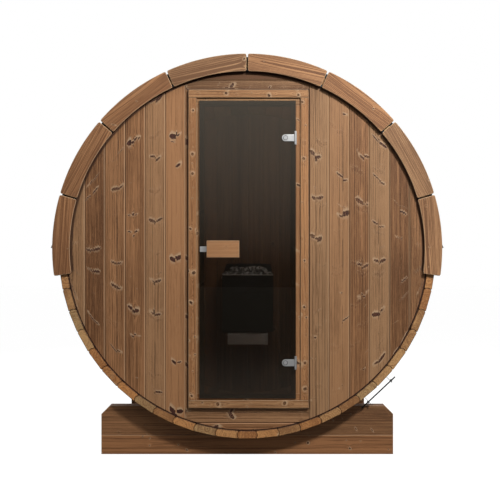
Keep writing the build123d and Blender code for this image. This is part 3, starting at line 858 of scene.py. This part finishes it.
def shingle_tab():
    """One tab, flat, its lower edge on X at Y = 0: a half hexagon below and a full strip above."""
    half, round_corner = tab_pitch / 2, 0.003
    levels = [0.0, round_corner, *(row_height * part / 3 for part in range(1, 7))]
    points, faces = [], []
    for z in (0.0, shingle_thickness):
        for level in levels:
            reach = min(half / 2 * (1 + level / row_height), half - tab_gap)
            reach -= round_corner * 0.8 if level == 0.0 else 0.0
            points += [(-reach, level, z), (reach, level, z)]
    last, above = 2 * (len(levels) - 1), 2 * len(levels)
    for left in range(0, last, 2):
        right = left + 1
        faces.append((left, left + 2, right + 2, right))
        faces.append((above + left, above + right, above + right + 2, above + left + 2))
        faces.append((left, above + left, above + left + 2, left + 2))
        faces.append((right, right + 2, above + right + 2, above + right))
    faces.append((0, 1, above + 1, above))
    faces.append((last, above + last, above + last + 1, last + 1))
    mesh = bpy.data.meshes.new("shingle tab")
    mesh.from_pydata(points, [], faces)
    return mesh


def shingle_rows():
    """Tree: rows of tabs, cut to the barrel's length and bent round it on one side."""
    (piece, rows, tabs, seed, pitch, height, first, last, radius, rise, start, side,
     centre), end = geometry_tree(
        "shingle rows", Int=["Rows", "Tabs", "Seed"],
        Float=["Tab pitch", "Row height", "First", "Last", "Radius", "Lift", "Start", "Side",
               "Centre height"])
    tree = piece.tree
    index = wire(tree, "GeometryNodeInputIndex")
    row = (index / tabs).math("FLOOR")
    along = first + (index - row * tabs + row.math("FLOORED_MODULO", 2.0) * 0.5) * pitch
    line = wire(tree, "GeometryNodeMeshLine", Count=rows * tabs, Offset=(0.0, 0.0, 0.0))
    spots = wire(tree, "GeometryNodeSetPosition", Geometry=line,
                 Position=together(along, row * height, 0.0))
    placed = wire(tree, "GeometryNodeInstanceOnPoints", Points=spots, Instance=piece)
    trimmed = wire(tree, "GeometryNodeDeleteGeometry", domain="INSTANCE",
                   Geometry=marked_copies(placed, seed, row=row),
                   Selection=along.math("GREATER_THAN", last + 0.001))
    real = wire(tree, "GeometryNodeRealizeInstances", trimmed)
    x, y, z = apart(wire(tree, "GeometryNodeInputPosition"))
    x = x.greater(first).lesser(last)
    y = y.lesser(rows * height)
    own = y - wire(tree, "GeometryNodeInputNamedAttribute", Name="row") * height
    out = radius + rise * (1 - own / (height * 2)) + z
    angle = start + y / radius
    bent = wire(tree, "GeometryNodeSetPosition", Geometry=real, Position=together(
        out * angle.math("COSINE") * side, x, out * angle.math("SINE") + centre))
    return end(wire(tree, "GeometryNodeMergeByDistance", Geometry=bent, Distance=weld))


def slate_granules():
    """Material of the shingles: dark bitumen under crushed slate of several greys."""
    material, place = surface("slate granules")
    grains = node(place.tree, "ShaderNodeTexVoronoi", Vector=place, Scale=620.0).outputs
    grey, _, _ = apart(Wire(grains["Color"]))
    batch = wire(place.tree, "ShaderNodeAttribute", attribute_name="log", output="Fac")
    shade = grey * 0.6 + batch * 0.5 + (mottle(place, 5.0, 3.0) - 0.5) * 0.5 - 0.1
    return coat(material, (0.8, 0.0008, 1 - Wire(grains["Distance"]) * 600),
                Base_Color=shade.greater(0.0).mix((0.016, 0.016, 0.017), (0.085, 0.087, 0.092)),
                Roughness=grey * 0.15 + 0.8, Specular_IOR_Level=0.2)


def curved_strip(turns, radius, thickness, side=1):
    """Outline of a strip that lies round the barrel, through turns counted from its top."""
    inner = [Vector((side * radius * sin(turn), radius * cos(turn))) for turn in turns]
    outer = [point * (1 + thickness / radius) for point in inner[::-1]]
    return [point + Vector((0, axis_height)) for point in inner + outer]


def ridge_cap(start, length):
    """One cap bent over the ridge. Its front edge is lifted, to lie on the cap before it."""
    points, faces, rows, columns = [], [], 4, 12
    for layer in (0.0, cap_thickness):
        for row in range(rows + 1):
            radius = cap_radius + cap_lift * (1 - row / rows) + layer - cap_bedding
            for column in range(columns + 1):
                angle = (column / columns * 2 - 1) * cap_half / cap_radius
                points.append((radius * sin(angle), start + length * row / rows,
                               axis_height + radius * cos(angle)))
    wide, sheet = columns + 1, (rows + 1) * (columns + 1)
    for row in range(rows):
        for column in range(columns):
            a, b = row * wide + column, (row + 1) * wide + column
            faces.append((a, b, b + 1, a + 1))
            faces.append((a + sheet, a + sheet + 1, b + sheet + 1, b + sheet))
    rim = [*range(wide), *range(2 * wide - 1, sheet, wide),
           *range(sheet - 2, sheet - wide - 1, -1), *range(sheet - 2 * wide, 0, -wide)]
    faces += [(one, two, two + sheet, one + sheet) for one, two in zip(rim, rim[1:] + rim[:1])]
    return points, faces, [0.0] * len(points)


roof_radius = barrel_radius + 0.0018
roof_start = asin((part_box("roof_right")[0].z - axis_height) / roof_radius)
roof_rows = 11
row_height = (pi / 2 - roof_start) * roof_radius / roof_rows
shade_strip_thickness = 0.004
roof_front, roof_rear = front_y + shade_strip_thickness + 0.0004, rear_y - shade_strip_thickness - 0.0004
tabs_across = 5
tab_pitch = (roof_rear - roof_front) / tabs_across
tab_gap = 0.0015
shingle_thickness, shingle_lift = 0.003, 0.0064
roof_felt = slate_granules()
bent_rows = shingle_rows()
for side, name in right_and_left:
    shape = worked(shingle_tab(), bent_rows, roof_felt, Rows=roof_rows, Tabs=tabs_across + 1,
                   Tab_pitch=tab_pitch, Row_height=row_height, First=roof_front, Last=roof_rear,
                   Radius=roof_radius, Lift=shingle_lift, Start=roof_start, Side=float(side),
                   Seed=30 + side)
    if side < 0:
        shape.flip_normals()
    finished(f"shingles_{name}", shape, roof_felt, (f"roof_{name}",), sharp=30)

starter = Joinery()
starter_reach = 1.3 * row_height
for side, _ in right_and_left:
    turns = [pi / 2 - roof_start - starter_reach / roof_radius * part / 8 for part in range(9)]
    starter.add(planed(curved_strip(turns, roof_radius, shingle_thickness, side), roof_front,
                       roof_rear, 0.0002, 1), lengthwise(0.0, 0.0, 0.0), 0.5)
finished("starter_strips", starter, roof_felt, sharp=30)

cap_count, cap_half, cap_overlap = 10, 0.125, 0.04
cap_thickness, cap_lift, cap_bedding, cap_setback = 0.0022, 0.0024, 0.0006, 0.005
cap_pitch = (rear_y - front_y - 2 * cap_setback) / cap_count
cap_radius = roof_radius + shingle_lift + shingle_thickness
caps = Joinery()
for count in range(cap_count):
    caps.add(ridge_cap(front_y + cap_setback + count * cap_pitch,
                       cap_pitch + (cap_overlap if count < cap_count - 1 else 0.0)))
finished("ridge_caps", caps, roof_felt, sharp=30)

# --------------------------------------------------
# Drip edges. A strip of dark painted sheet along each side, nailed under the lowest shingles
# and bent outwards so that water falls clear of the staves. They are kept as modelled.
# --------------------------------------------------


def painted(name, colour, roughness, wear_and_edge_shading):
    """Material of painted or coated sheet metal: a slight unevenness in colour and gloss."""
    material, place = surface(name)
    cloud = mottle(place, 7.0, 4.0, 0.6)
    lighter = [part + (0.5 - part) * wear_and_edge_shading for part in colour]
    return coat(material, (0.15, 0.0002, mottle(place, 900.0, 1.0)),
                Base_Color=cloud.step(0.3, 0.75).mix(colour, lighter),
                Roughness=cloud * 0.14 + (roughness - 0.07))


def dress(solid, material):
    """Gives a CAD node its finish."""
    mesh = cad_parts[solid].data
    mesh.materials.clear()
    mesh.materials.append(material)


dress("drip_edges", painted("drip edge paint", (0.05, 0.058, 0.068), 0.4, 0.1))

# --------------------------------------------------
# Joint shade. Two black strips lie behind the fascia boards, one over the edge of the roof
# and one inside the staves. The outer one shows black through the joints between the boards
# and stands in for the shade there, a painted shade; the inner one stops light coming through.
# --------------------------------------------------

# Black for the strips that stand in for the shade in the fascia joints, and for the rubber round
# the hinge screws.
black_rubber_and_joint_shade = painted("black rubber and joint shade", (0.02, 0.02, 0.02), 0.6, 0.05)
shade_strip_reach = radians(83)
shade_strip_bands = ((barrel_radius - 0.0545, 0.014), (barrel_radius + 0.0015, 0.0205))
shade_strip_steps = 60
shade_strip_turns = [shade_strip_reach * (1 - part / shade_strip_steps) for part in range(2 * shade_strip_steps + 1)]
# Black strips behind the fascia joints: painted shade in the joints.
for end, shade_strip_front in (("front", front_y + 0.0002), ("rear", rear_y - shade_strip_thickness - 0.0002)):
    shade_strips = [planed(curved_strip(shade_strip_turns, radius, height), shade_strip_front,
                   shade_strip_front + shade_strip_thickness, 0.0004, 1) for radius, height in shade_strip_bands]
    finished(f"{end}_fascia_seal", Joinery(*shade_strips), black_rubber_and_joint_shade)

# --------------------------------------------------
# Bands. Two steel bands 25 mm wide hold the staves together. Their ends are bent outwards and
# drawn together by a threaded rod with a nut and washer at each, low on the right-hand side.
# --------------------------------------------------


def metal(name, colour, roughness, grain, direction):
    """Material of brushed or plated metal, its fine scratches running in one direction."""
    material, place = surface(name)
    fine = [part * (18.0 if axis == direction else 900.0)
            for part, axis in zip(apart(place), "XYZ")]
    brushed, cloud = mottle(together(*fine), 1.0), mottle(place, 12.0, 3.0)
    darker = [part * 0.78 for part in colour]
    tone = ((brushed - 0.5) * grain + cloud).step(0.2, 0.8)
    return coat(material, (0.2 * grain, 0.0001, brushed), Metallic=1.0,
                Base_Color=tone.mix(darker, colour),
                Roughness=brushed * 0.2 * grain + (cloud - 0.5) * 0.12 + roughness)


def ringed(rings, place):
    """Solid of rings, each a height and a radius for every side, put in place by a matrix."""
    points = []
    for height, radii in rings:
        for count, radius in enumerate(radii):
            turn = 2 * pi * count / len(radii)
            points.append(place @ Vector((radius * cos(turn), radius * sin(turn), height)))
    return points, skin(len(rings), len(rings[0][1])), [0.0] * len(points)


def spun(profile, sides, place):
    """Solid turned from (radius, height) pairs, closed at both ends."""
    return ringed([(height, [radius] * sides) for radius, height in profile], place)


def threaded(length, place):
    """Rod with a metric thread along it, its ends chamfered."""
    rings, sides, rows_per_turn = [], 12, 4
    rows = int(length / thread_pitch * rows_per_turn)
    for row in range(rows + 1):
        height = length * row / rows
        widest = rod_radius - 0.0012 + min(height, length - height)
        phases = [(height / thread_pitch + count / sides) % 1.0 for count in range(sides)]
        rings.append((height, [min(rod_radius - thread_depth * abs(2 * phase - 1), widest)
                               for phase in phases]))
    return ringed(rings, place)


def hex_nut(place):
    """Nut with both faces chamfered: a hexagon cut by two cones."""
    half_flat, sides, chamfer = nut_flats / 2, 24, 0.0008
    flats = [half_flat / cos((2 * pi * count / sides + pi / 6) % (pi / 3) - pi / 6)
             for count in range(sides)]
    cones = [min(flat, half_flat * 0.97) for flat in flats]
    return ringed([(0.0, cones), (chamfer, flats), (nut_height - chamfer, flats),
                   (nut_height, cones)], place)


band_steel = metal("band steel", (0.30, 0.30, 0.30), 0.36, 0.8, "Y")
rod_steel = metal("rod steel", (0.05, 0.048, 0.045), 0.4, 0.5, "Z")
zinc = metal("zinc-plated nuts", (0.22, 0.22, 0.215), 0.3, 0.3, "Z")
tensioner_angle = radians(46.8)
lug_face = 0.082
rod_radius, rod_offset, rod_above, rod_below = 0.004, 0.039, 0.033, 0.053
thread_pitch, thread_depth = 0.00125, 0.0007
nut_flats, nut_height = 0.013, 0.0065
washer_radius, washer_thickness, washer_edge = 0.008, 0.0012, 0.0003
washer = [(washer_radius - washer_edge, 0.0), (washer_radius, washer_edge),
          (washer_radius, washer_thickness - washer_edge),
          (washer_radius - washer_edge, washer_thickness)]
outwards = Vector((cos(tensioner_angle), 0, -sin(tensioner_angle)))
upwards = Vector((sin(tensioner_angle), 0, cos(tensioner_angle)))
tilt = upwards.to_track_quat("Z", "Y").to_matrix().to_4x4()
for end in ("front", "rear"):
    dress(f"{end}_band", band_steel)
    low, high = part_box(f"{end}_band")
    middle = Vector((0, (low.y + high.y) / 2, axis_height))
    middle += outwards * (barrel_radius + rod_offset)
    foot = Matrix.Translation(middle - upwards * (lug_face + rod_below)) @ tilt
    rod, nuts = Joinery(threaded(rod_below + 2 * lug_face + rod_above, foot)), Joinery()
    for way, seat in ((1, tilt), (-1, tilt @ Matrix.Rotation(pi, 4, "X"))):
        on_lug = Matrix.Translation(middle + upwards * way * lug_face) @ seat
        nuts.add(spun(washer, 24, on_lug))
        nuts.add(hex_nut(on_lug @ Matrix.Translation((0, 0, washer_thickness))))
    finished(f"{end}_tensioner", rod, rod_steel, (f"{end}_tension_rod",), sharp=30)
    finished(f"{end}_tensioner_nuts", nuts, zinc, sharp=30)

# --------------------------------------------------
# Glass door. One pane of tempered glass 8 mm thick, tinted bronze-grey, its edges ground. It
# closes against the stop with no frame of its own.
# --------------------------------------------------

smoked_glass, place = surface("bronze-grey glass")
film = mottle(place, 3.0, 4.0, 0.6)
coat(smoked_glass, Base_Color=film.mix((0.004, 0.003, 0.002), (0.006, 0.0045, 0.003)),
     Roughness=0.0, IOR=1.5, Specular_IOR_Level=1.0, Specular_Tint=(1.0, 0.9, 0.74), Alpha=0.65)
glass_low, glass_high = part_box("door_glass")
glass_corner, glass_easing = 0.002, 0.0009
pane = planed(eased_outline(front_of(glass_low, glass_high), glass_corner), glass_low.y,
              glass_high.y, glass_easing, 2)
finished("glass_pane", Joinery(pane), smoked_glass, ("door_glass",), "door")

# --------------------------------------------------
# Hinges. Satin metal plates clamp the glass from both sides, one end half round, held by a
# countersunk screw. Each turns on a pin between two ears of a plate screwed to the frame.
# --------------------------------------------------


def clamp_outline(right, level):
    """Plate from the clamps' left side, where it is half round, to a place on the right."""
    half = clamp_height / 2
    middle = clamp_low.x + half
    curve = [Vector((middle - half * sin(pi * part / 16), level + half * cos(pi * part / 16)))
             for part in range(17)]
    return curve + [Vector((right, level - half)), Vector((right, level + half))]


def spun_ring(profile, sides, place):
    """Ring turned from (radius, height) pairs, put in place by a matrix."""
    points, faces, edge = spun(profile + profile[:1], sides, place)
    count = len(profile) * sides
    faces = [tuple(corner % count for corner in face) for face in faces[:-2]]
    return points[:count], faces, edge[:count]


hinge_metal = metal("satin hinge metal", (0.60, 0.60, 0.595), 0.36, 0.4, "X")
clamp_low, clamp_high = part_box("hinge_clamps")
plate_low, plate_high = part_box("hinge_plates")
clamp_height, clamp_thickness, clamp_rounding = 0.037, 0.005, 0.0012
hinge_height = 0.071
knuckle_radius, knuckle_gap = 0.005, 0.0006
web_half = 0.00125
pin_x, pin_y = clamp_high.x - knuckle_radius, clamp_low.y + knuckle_radius
face_y, glass_back_y = glass_low.y, glass_high.y
clamp_front, clamp_back = face_y - clamp_thickness, clamp_high.y
screw = [(0.0100, 0.0), (0.0100, 0.0008), (0.0094, 0.0012), (0.0076, 0.0012), (0.0070, 0.0003),
         (0.0001, 0.0003)]
screw_seal = [(0.0102, 0.0), (0.0126, 0.0), (0.0126, 0.0005), (0.0102, 0.0005)]
knuckle = [(knuckle_radius - 0.0005, knuckle_gap / 2), (knuckle_radius, 0.0008),
           (knuckle_radius, clamp_height - 0.0008),
           (knuckle_radius - 0.0005, clamp_height - knuckle_gap / 2)]
ear_height = (hinge_height - clamp_height) / 2
ear = [(knuckle_radius - 0.0006, 0.0), (knuckle_radius, 0.0006),
       (knuckle_radius, ear_height - 0.0008),
       (knuckle_radius - 0.0005, ear_height - knuckle_gap / 2)]
clamps, plates, seals = Joinery(), Joinery(), Joinery()
for level in (plate_low.z + hinge_height / 2, plate_high.z - hinge_height / 2):
    clamps.add(planed(clamp_outline(pin_x - 0.003, level), clamp_front, face_y, clamp_rounding))
    clamps.add(planed(clamp_outline(clear_right - 0.005, level), glass_back_y, clamp_back,
                      clamp_rounding))
    on_plate = Matrix.Translation((clamp_low.x + clamp_height / 2, clamp_front, level))
    on_plate = on_plate @ Matrix.Rotation(pi / 2, 4, "X")
    clamps.add(spun(screw, 32, on_plate))
    seals.add(spun_ring(screw_seal, 32, on_plate))
    foot = Matrix.Translation((pin_x, pin_y, level - clamp_height / 2))
    clamps.add(spun(knuckle, 24, foot))
    for low in (level - hinge_height / 2, level + clamp_height / 2):
        plates.add(spun(ear, 24, Matrix.Translation((pin_x, pin_y, low))))
        web = rectangle(pin_x, pin_x + 0.0055, low + 0.0004, low + ear_height - 0.0004)
        plates.add(planed(web, pin_y - web_half, pin_y + web_half, 0.0003, 1))
    leaf = rectangle(pin_x + 0.0053, plate_high.x, level - hinge_height / 2,
                     level + hinge_height / 2)
    plates.add(planed(leaf, pin_y - web_half, plate_high.y, 0.0005, 2))
finished("glass_clamps", clamps, hinge_metal, ("hinge_clamps",), "door", 30)
finished("screw_seals", seals, black_rubber_and_joint_shade, (), "door", 30)
finished("frame_hinges", plates, hinge_metal, ("hinge_plates",), sharp=30)

# --------------------------------------------------
# Handle and catch. Two blocks of lighter wood, one on each face of the glass, are joined by
# bolts through it. A small metal plate beside the outer block holds the door shut.
# --------------------------------------------------

handle_wood = timber("handle wood", (0.43, 0.208, 0.0896), (0.3, 0.137, 0.0564),
                     (0.1, 0.0378, 0.0166), 0.5, spread=0.2, pith_nearest=0.03,
                     pith_farthest=0.05, knottiness=0.15)
handle_low, handle_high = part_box("door_handle")
handle_rounding = 0.003
block = eased_outline(front_of(handle_low, handle_high), handle_rounding)
block_middle = (handle_low + handle_high) / 2
handle = Joinery()
for near, far, log in ((handle_low.y, face_y, 0.23), (glass_back_y, handle_high.y, 0.79)):
    handle.add(planed(block, near, far, handle_rounding),
               lengthwise(block_middle.x, near, block_middle.z), log)
finished("handle_blocks", handle, handle_wood, ("door_handle",), "door")

catch_low, catch_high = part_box("door_catch")
catch_corner = 0.004
tongue = eased_outline(front_of(catch_low, catch_high), [catch_corner, 0, 0, catch_corner])
catch = planed(tongue, catch_low.y, catch_high.y, 0.0006, 2)
finished("catch_plate", Joinery(catch), hinge_metal, ("door_catch",), "door", 30)

# --------------------------------------------------
# Heater. A black sheet-steel case hangs on the back wall, with a bright rim round a tray full
# of split stones. A light metal box with the controls hangs below it.
# --------------------------------------------------


def four_walls(thickness, low, high, ease, steps):
    """The four upright sides of the case between two levels: front, back, left and right."""
    left, right, near, far = case_low.x, case_high.x, case_low.y, case_high.y
    for x1, x2, y1, y2 in (
        (left, right, near, near + thickness),
        (left, right, far - thickness, far),
        (left, left + thickness, near + thickness, far - thickness),
        (right - thickness, right, near + thickness, far - thickness),
    ):
        yield planed(rectangle(x1, x2, low, high), y1, y2, ease, steps)


def split_stones():
    """Tree: a heap of stones, each of its own size and turn, roughened by noise."""
    (empty, seed, width, depth, height, size, top), end = geometry_tree(
        "split stones", Int=["Seed"], Float=["Width", "Depth", "Height", "Stone size"],
        Vector=["Top"])
    tree = empty.tree
    heap = wire(tree, "GeometryNodeMeshGrid", Size_X=width, Size_Y=depth, Vertices_X=9,
                Vertices_Y=7)
    x, y, _ = apart(wire(tree, "GeometryNodeInputPosition"))
    sway, turn = [
        apart(wire(tree, "FunctionNodeRandomValue", (-0.5, -0.5, -0.5), (0.5, 0.5, 0.5),
                   Seed=seed + more, data_type="FLOAT_VECTOR"))
        for more in (0, 7)
    ]
    crown = 1 - (x / width * 2).math("POWER", 8.0)
    crown = crown * (1 - (y / depth * 2).math("POWER", 4.0))
    spots = wire(tree, "GeometryNodeSetPosition", Geometry=heap, Position=together(
        x + sway[0] * 0.022, y * 0.88 + sway[1] * 0.022, crown * height + sway[2] * 0.02))
    rock = wire(tree, "GeometryNodeMeshIcoSphere", Radius=size, Subdivisions=3)
    placed = wire(
        tree, "GeometryNodeInstanceOnPoints", Points=spots, Instance=rock,
        Rotation=together(*(part * 6.3 for part in turn)),
        Scale=together(turn[1] * 0.5 + 1, turn[2] * 0.5 + 0.85, turn[0] * 0.4 + 0.75))
    real = wire(tree, "GeometryNodeRealizeInstances", placed)
    broken = mottle(wire(tree, "GeometryNodeInputPosition"), 34.0, 3.0, output="Color")
    shift = wire(tree, "ShaderNodeVectorMath", broken, (0.5, 0.5, 0.5), operation="SUBTRACT")
    shift = wire(tree, "ShaderNodeVectorMath", shift, Scale=0.022, operation="SCALE")
    rough = wire(tree, "GeometryNodeSetPosition", Geometry=real, Offset=shift)
    return end(wire(tree, "GeometryNodeTransform", Geometry=rough, Translation=top))


def stone_face():
    """Material of the stones: dark grey-green rock with pale and dark patches, painted highlights
    and shade.
    """
    material, place = surface("split stone")
    patch, speck = mottle(place, 42.0, 4.0, 0.6), mottle(place, 420.0, 2.0, 0.6)
    # The pale and dark patches, laid at random, stand in for highlights on the stones and the
    # shade between them: painted light and shade.
    tone = (patch + (speck - 0.5) * 0.7).step(0.4, 0.66)
    return coat(material, (0.7, 0.002, patch * 0.6 + speck * 0.4),
                Base_Color=tone.mix((0.045, 0.044, 0.04), (0.95, 0.92, 0.85)),
                Roughness=speck * 0.3 + 0.6)


case_low, case_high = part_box("heater_body")
heap_low, heap_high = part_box("heater_stones")
heater_black = painted("heater black", (0.011, 0.0125, 0.010), 0.42, 0.02)
pale_enamel = painted("pale enamel", (0.85, 0.80, 0.72), 0.45, 0.0)
seam_height = case_high.z - 0.142
seam_half, seam_depth, case_rounding = 0.001, 0.002, 0.004
tray_floor = heap_low.z
wall_steel, rim_steel, rim_height = 0.002, 0.004, 0.006
rim_low = case_high.z - rim_height
lower = rectangle(case_low.x, case_high.x, case_low.z, seam_height - seam_half)
upper = rectangle(case_low.x, case_high.x, seam_height + seam_half, tray_floor)
joint = rectangle(case_low.x + seam_depth, case_high.x - seam_depth, seam_height - 0.002,
                  seam_height + 0.002)
case = Joinery(
    planed(eased_outline(lower, 0.004), case_low.y, case_high.y, case_rounding),
    planed(eased_outline(upper, 0.002), case_low.y, case_high.y, case_rounding),
    planed(joint, case_low.y + seam_depth, case_high.y - seam_depth, 0.0004, 1),
    *four_walls(wall_steel, tray_floor, rim_low, 0.0004, 1),
)
finished("heater_case", case, heater_black, ("heater_body",), sharp=30)
rim = Joinery(*four_walls(rim_steel, rim_low, case_high.z, 0.0008, 2))
finished("heater_rim", rim, pale_enamel, sharp=30)

guard_height, guard_setback = 0.072, 0.012
guard_front, guard_back = case_high.y - 0.006, case_high.y - 0.0045
guard = [Vector((case_low.x, case_high.z)), Vector((case_high.x, case_high.z)),
         Vector((case_high.x - guard_setback, case_high.z + guard_height)),
         Vector((case_low.x + 2 * guard_setback, case_high.z + guard_height))]
guard = planed(guard, guard_front, guard_back, 0.0003, 1)
finished("heater_guard", Joinery(guard), heater_black, sharp=30)

sauna_stone = stone_face()
heap_rise, heap_sink, stone_radius = 0.036, 0.010, 0.024
stones = worked(bpy.data.meshes.new("stones"), split_stones(), sauna_stone,
                Width=(heap_high.x - heap_low.x) * 0.86, Depth=(heap_high.y - heap_low.y) * 0.9,
                Height=heap_rise, Stone_size=stone_radius, Seed=4,
                Top=(0.0, (heap_low.y + heap_high.y) / 2, case_high.z - heap_sink))
finished("stone_heap", stones, sauna_stone, ("heater_stones",), sharp=50)

dress("heater_rails", heater_black)
box_low, box_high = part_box("heater_control_box")
box_top = box_low.z + 0.074
neck_side, neck_back = 0.06, 0.03
panel = eased_outline(rectangle(box_low.x, box_high.x, box_low.z, box_top), 0.003)
neck = rectangle(box_low.x + neck_side, box_high.x - neck_side, box_top - 0.001, box_high.z)
control = Joinery(planed(panel, box_low.y, box_high.y, 0.002),
                  planed(neck, box_low.y + neck_back, box_high.y - neck_back, 0.0008, 2))
finished("heater_controls", control, pale_enamel, ("heater_control_box",),
         sharp=30)

# --------------------------------------------------
# Setting: a plain pale floor and soft studio light. The key lamp stands at the upper right, two
# lamps light the rear and a small one the room. The camera stands level in front of the door.
# --------------------------------------------------


def soft_light(name, place, target, size, power):
    """A square lamp that looks at a point."""
    lamp = bpy.data.lights.new(name, "AREA")
    lamp.size = size
    lamp.energy = power
    shown = bpy.data.objects.new(name, lamp)
    shown.location = place
    shown.rotation_euler = (target - place).to_track_quat("-Z", "Y").to_euler()
    scene.collection.objects.link(shown)


floor_half = 40
floor_mesh = bpy.data.meshes.new("floor")
corners = [(floor_half * x, floor_half * y, 0) for x, y in ((-1, -1), (1, -1), (1, 1), (-1, 1))]
floor_mesh.from_pydata(corners, [], [(0, 1, 2, 3)])
floor = bpy.data.objects.new("floor", floor_mesh)
scene.collection.objects.link(floor)
floor_paint, place = surface("floor")
floor_mesh.materials.append(floor_paint)
seen = wire(place.tree, "ShaderNodeLightPath", output="Is Camera Ray")
coat(floor_paint, Base_Color=(0.16, 0.16, 0.16), Roughness=0.9, Emission_Color=(1.0, 1.0, 1.0),
     Emission_Strength=seen * 0.93)

world = bpy.data.worlds.new("studio")
scene.world = world
world.use_nodes = True
direct, through, mirrored = [
    wire(world.node_tree, "ShaderNodeLightPath", output=f"Is {kind} Ray")
    for kind in ("Camera", "Transmission", "Glossy")
]
seen = direct.greater(through)
_, _, up = apart(wire(world.node_tree, "ShaderNodeTexCoord", output="Generated"))
low_sky = up.greater(0.0).lesser(0.18) * 5.6 + 0.02
sky = low_sky * up.step(0.22, 0.45, 1.0, 0.3) * mirrored + (1 - mirrored) * 0.14
background = world.node_tree.nodes["Background"]
plug((1.0, 1.0, 1.0), background.inputs["Color"])
plug(seen + (1 - seen) * sky, background.inputs["Strength"])

door_centre = Vector((0.0, front_y, axis_height))
rear_centre = Vector((0.0, rear_y, axis_height))
key_side, key_height, key_distance = radians(30), radians(36), 4.4
key_way = Vector((sin(key_side) * cos(key_height), -cos(key_side) * cos(key_height),
                  sin(key_height)))
soft_light("key", door_centre + key_way * key_distance, door_centre, 0.5, 172)
soft_light("fill", door_centre + Vector((-1.1, -2.7, 2.9)), door_centre, 2.2, 30)
soft_light("room", door_centre + Vector((0.25, 0.25, 0.55)), rear_centre, 0.3, 6.5)
for side in (-1, 1):
    soft_light(f"rear {side}", Vector((side * 3.2, rear_y + 2.6, 3.0)),
               rear_centre - Vector((0.0, 0.5, 0.0)), 2.0, 90)

camera_distance = 5.11
lens = bpy.data.cameras.new("camera")
lens.lens = 68.8
lens.sensor_width = 36
lens.shift_y = 0.03
camera = bpy.data.objects.new("camera", lens)
camera.location = (0.015, front_y - camera_distance, axis_height - 0.08)
camera.rotation_euler = (pi / 2, 0, 0)
scene.collection.objects.link(camera)
scene.camera = camera
scene.view_settings.view_transform = "Standard"
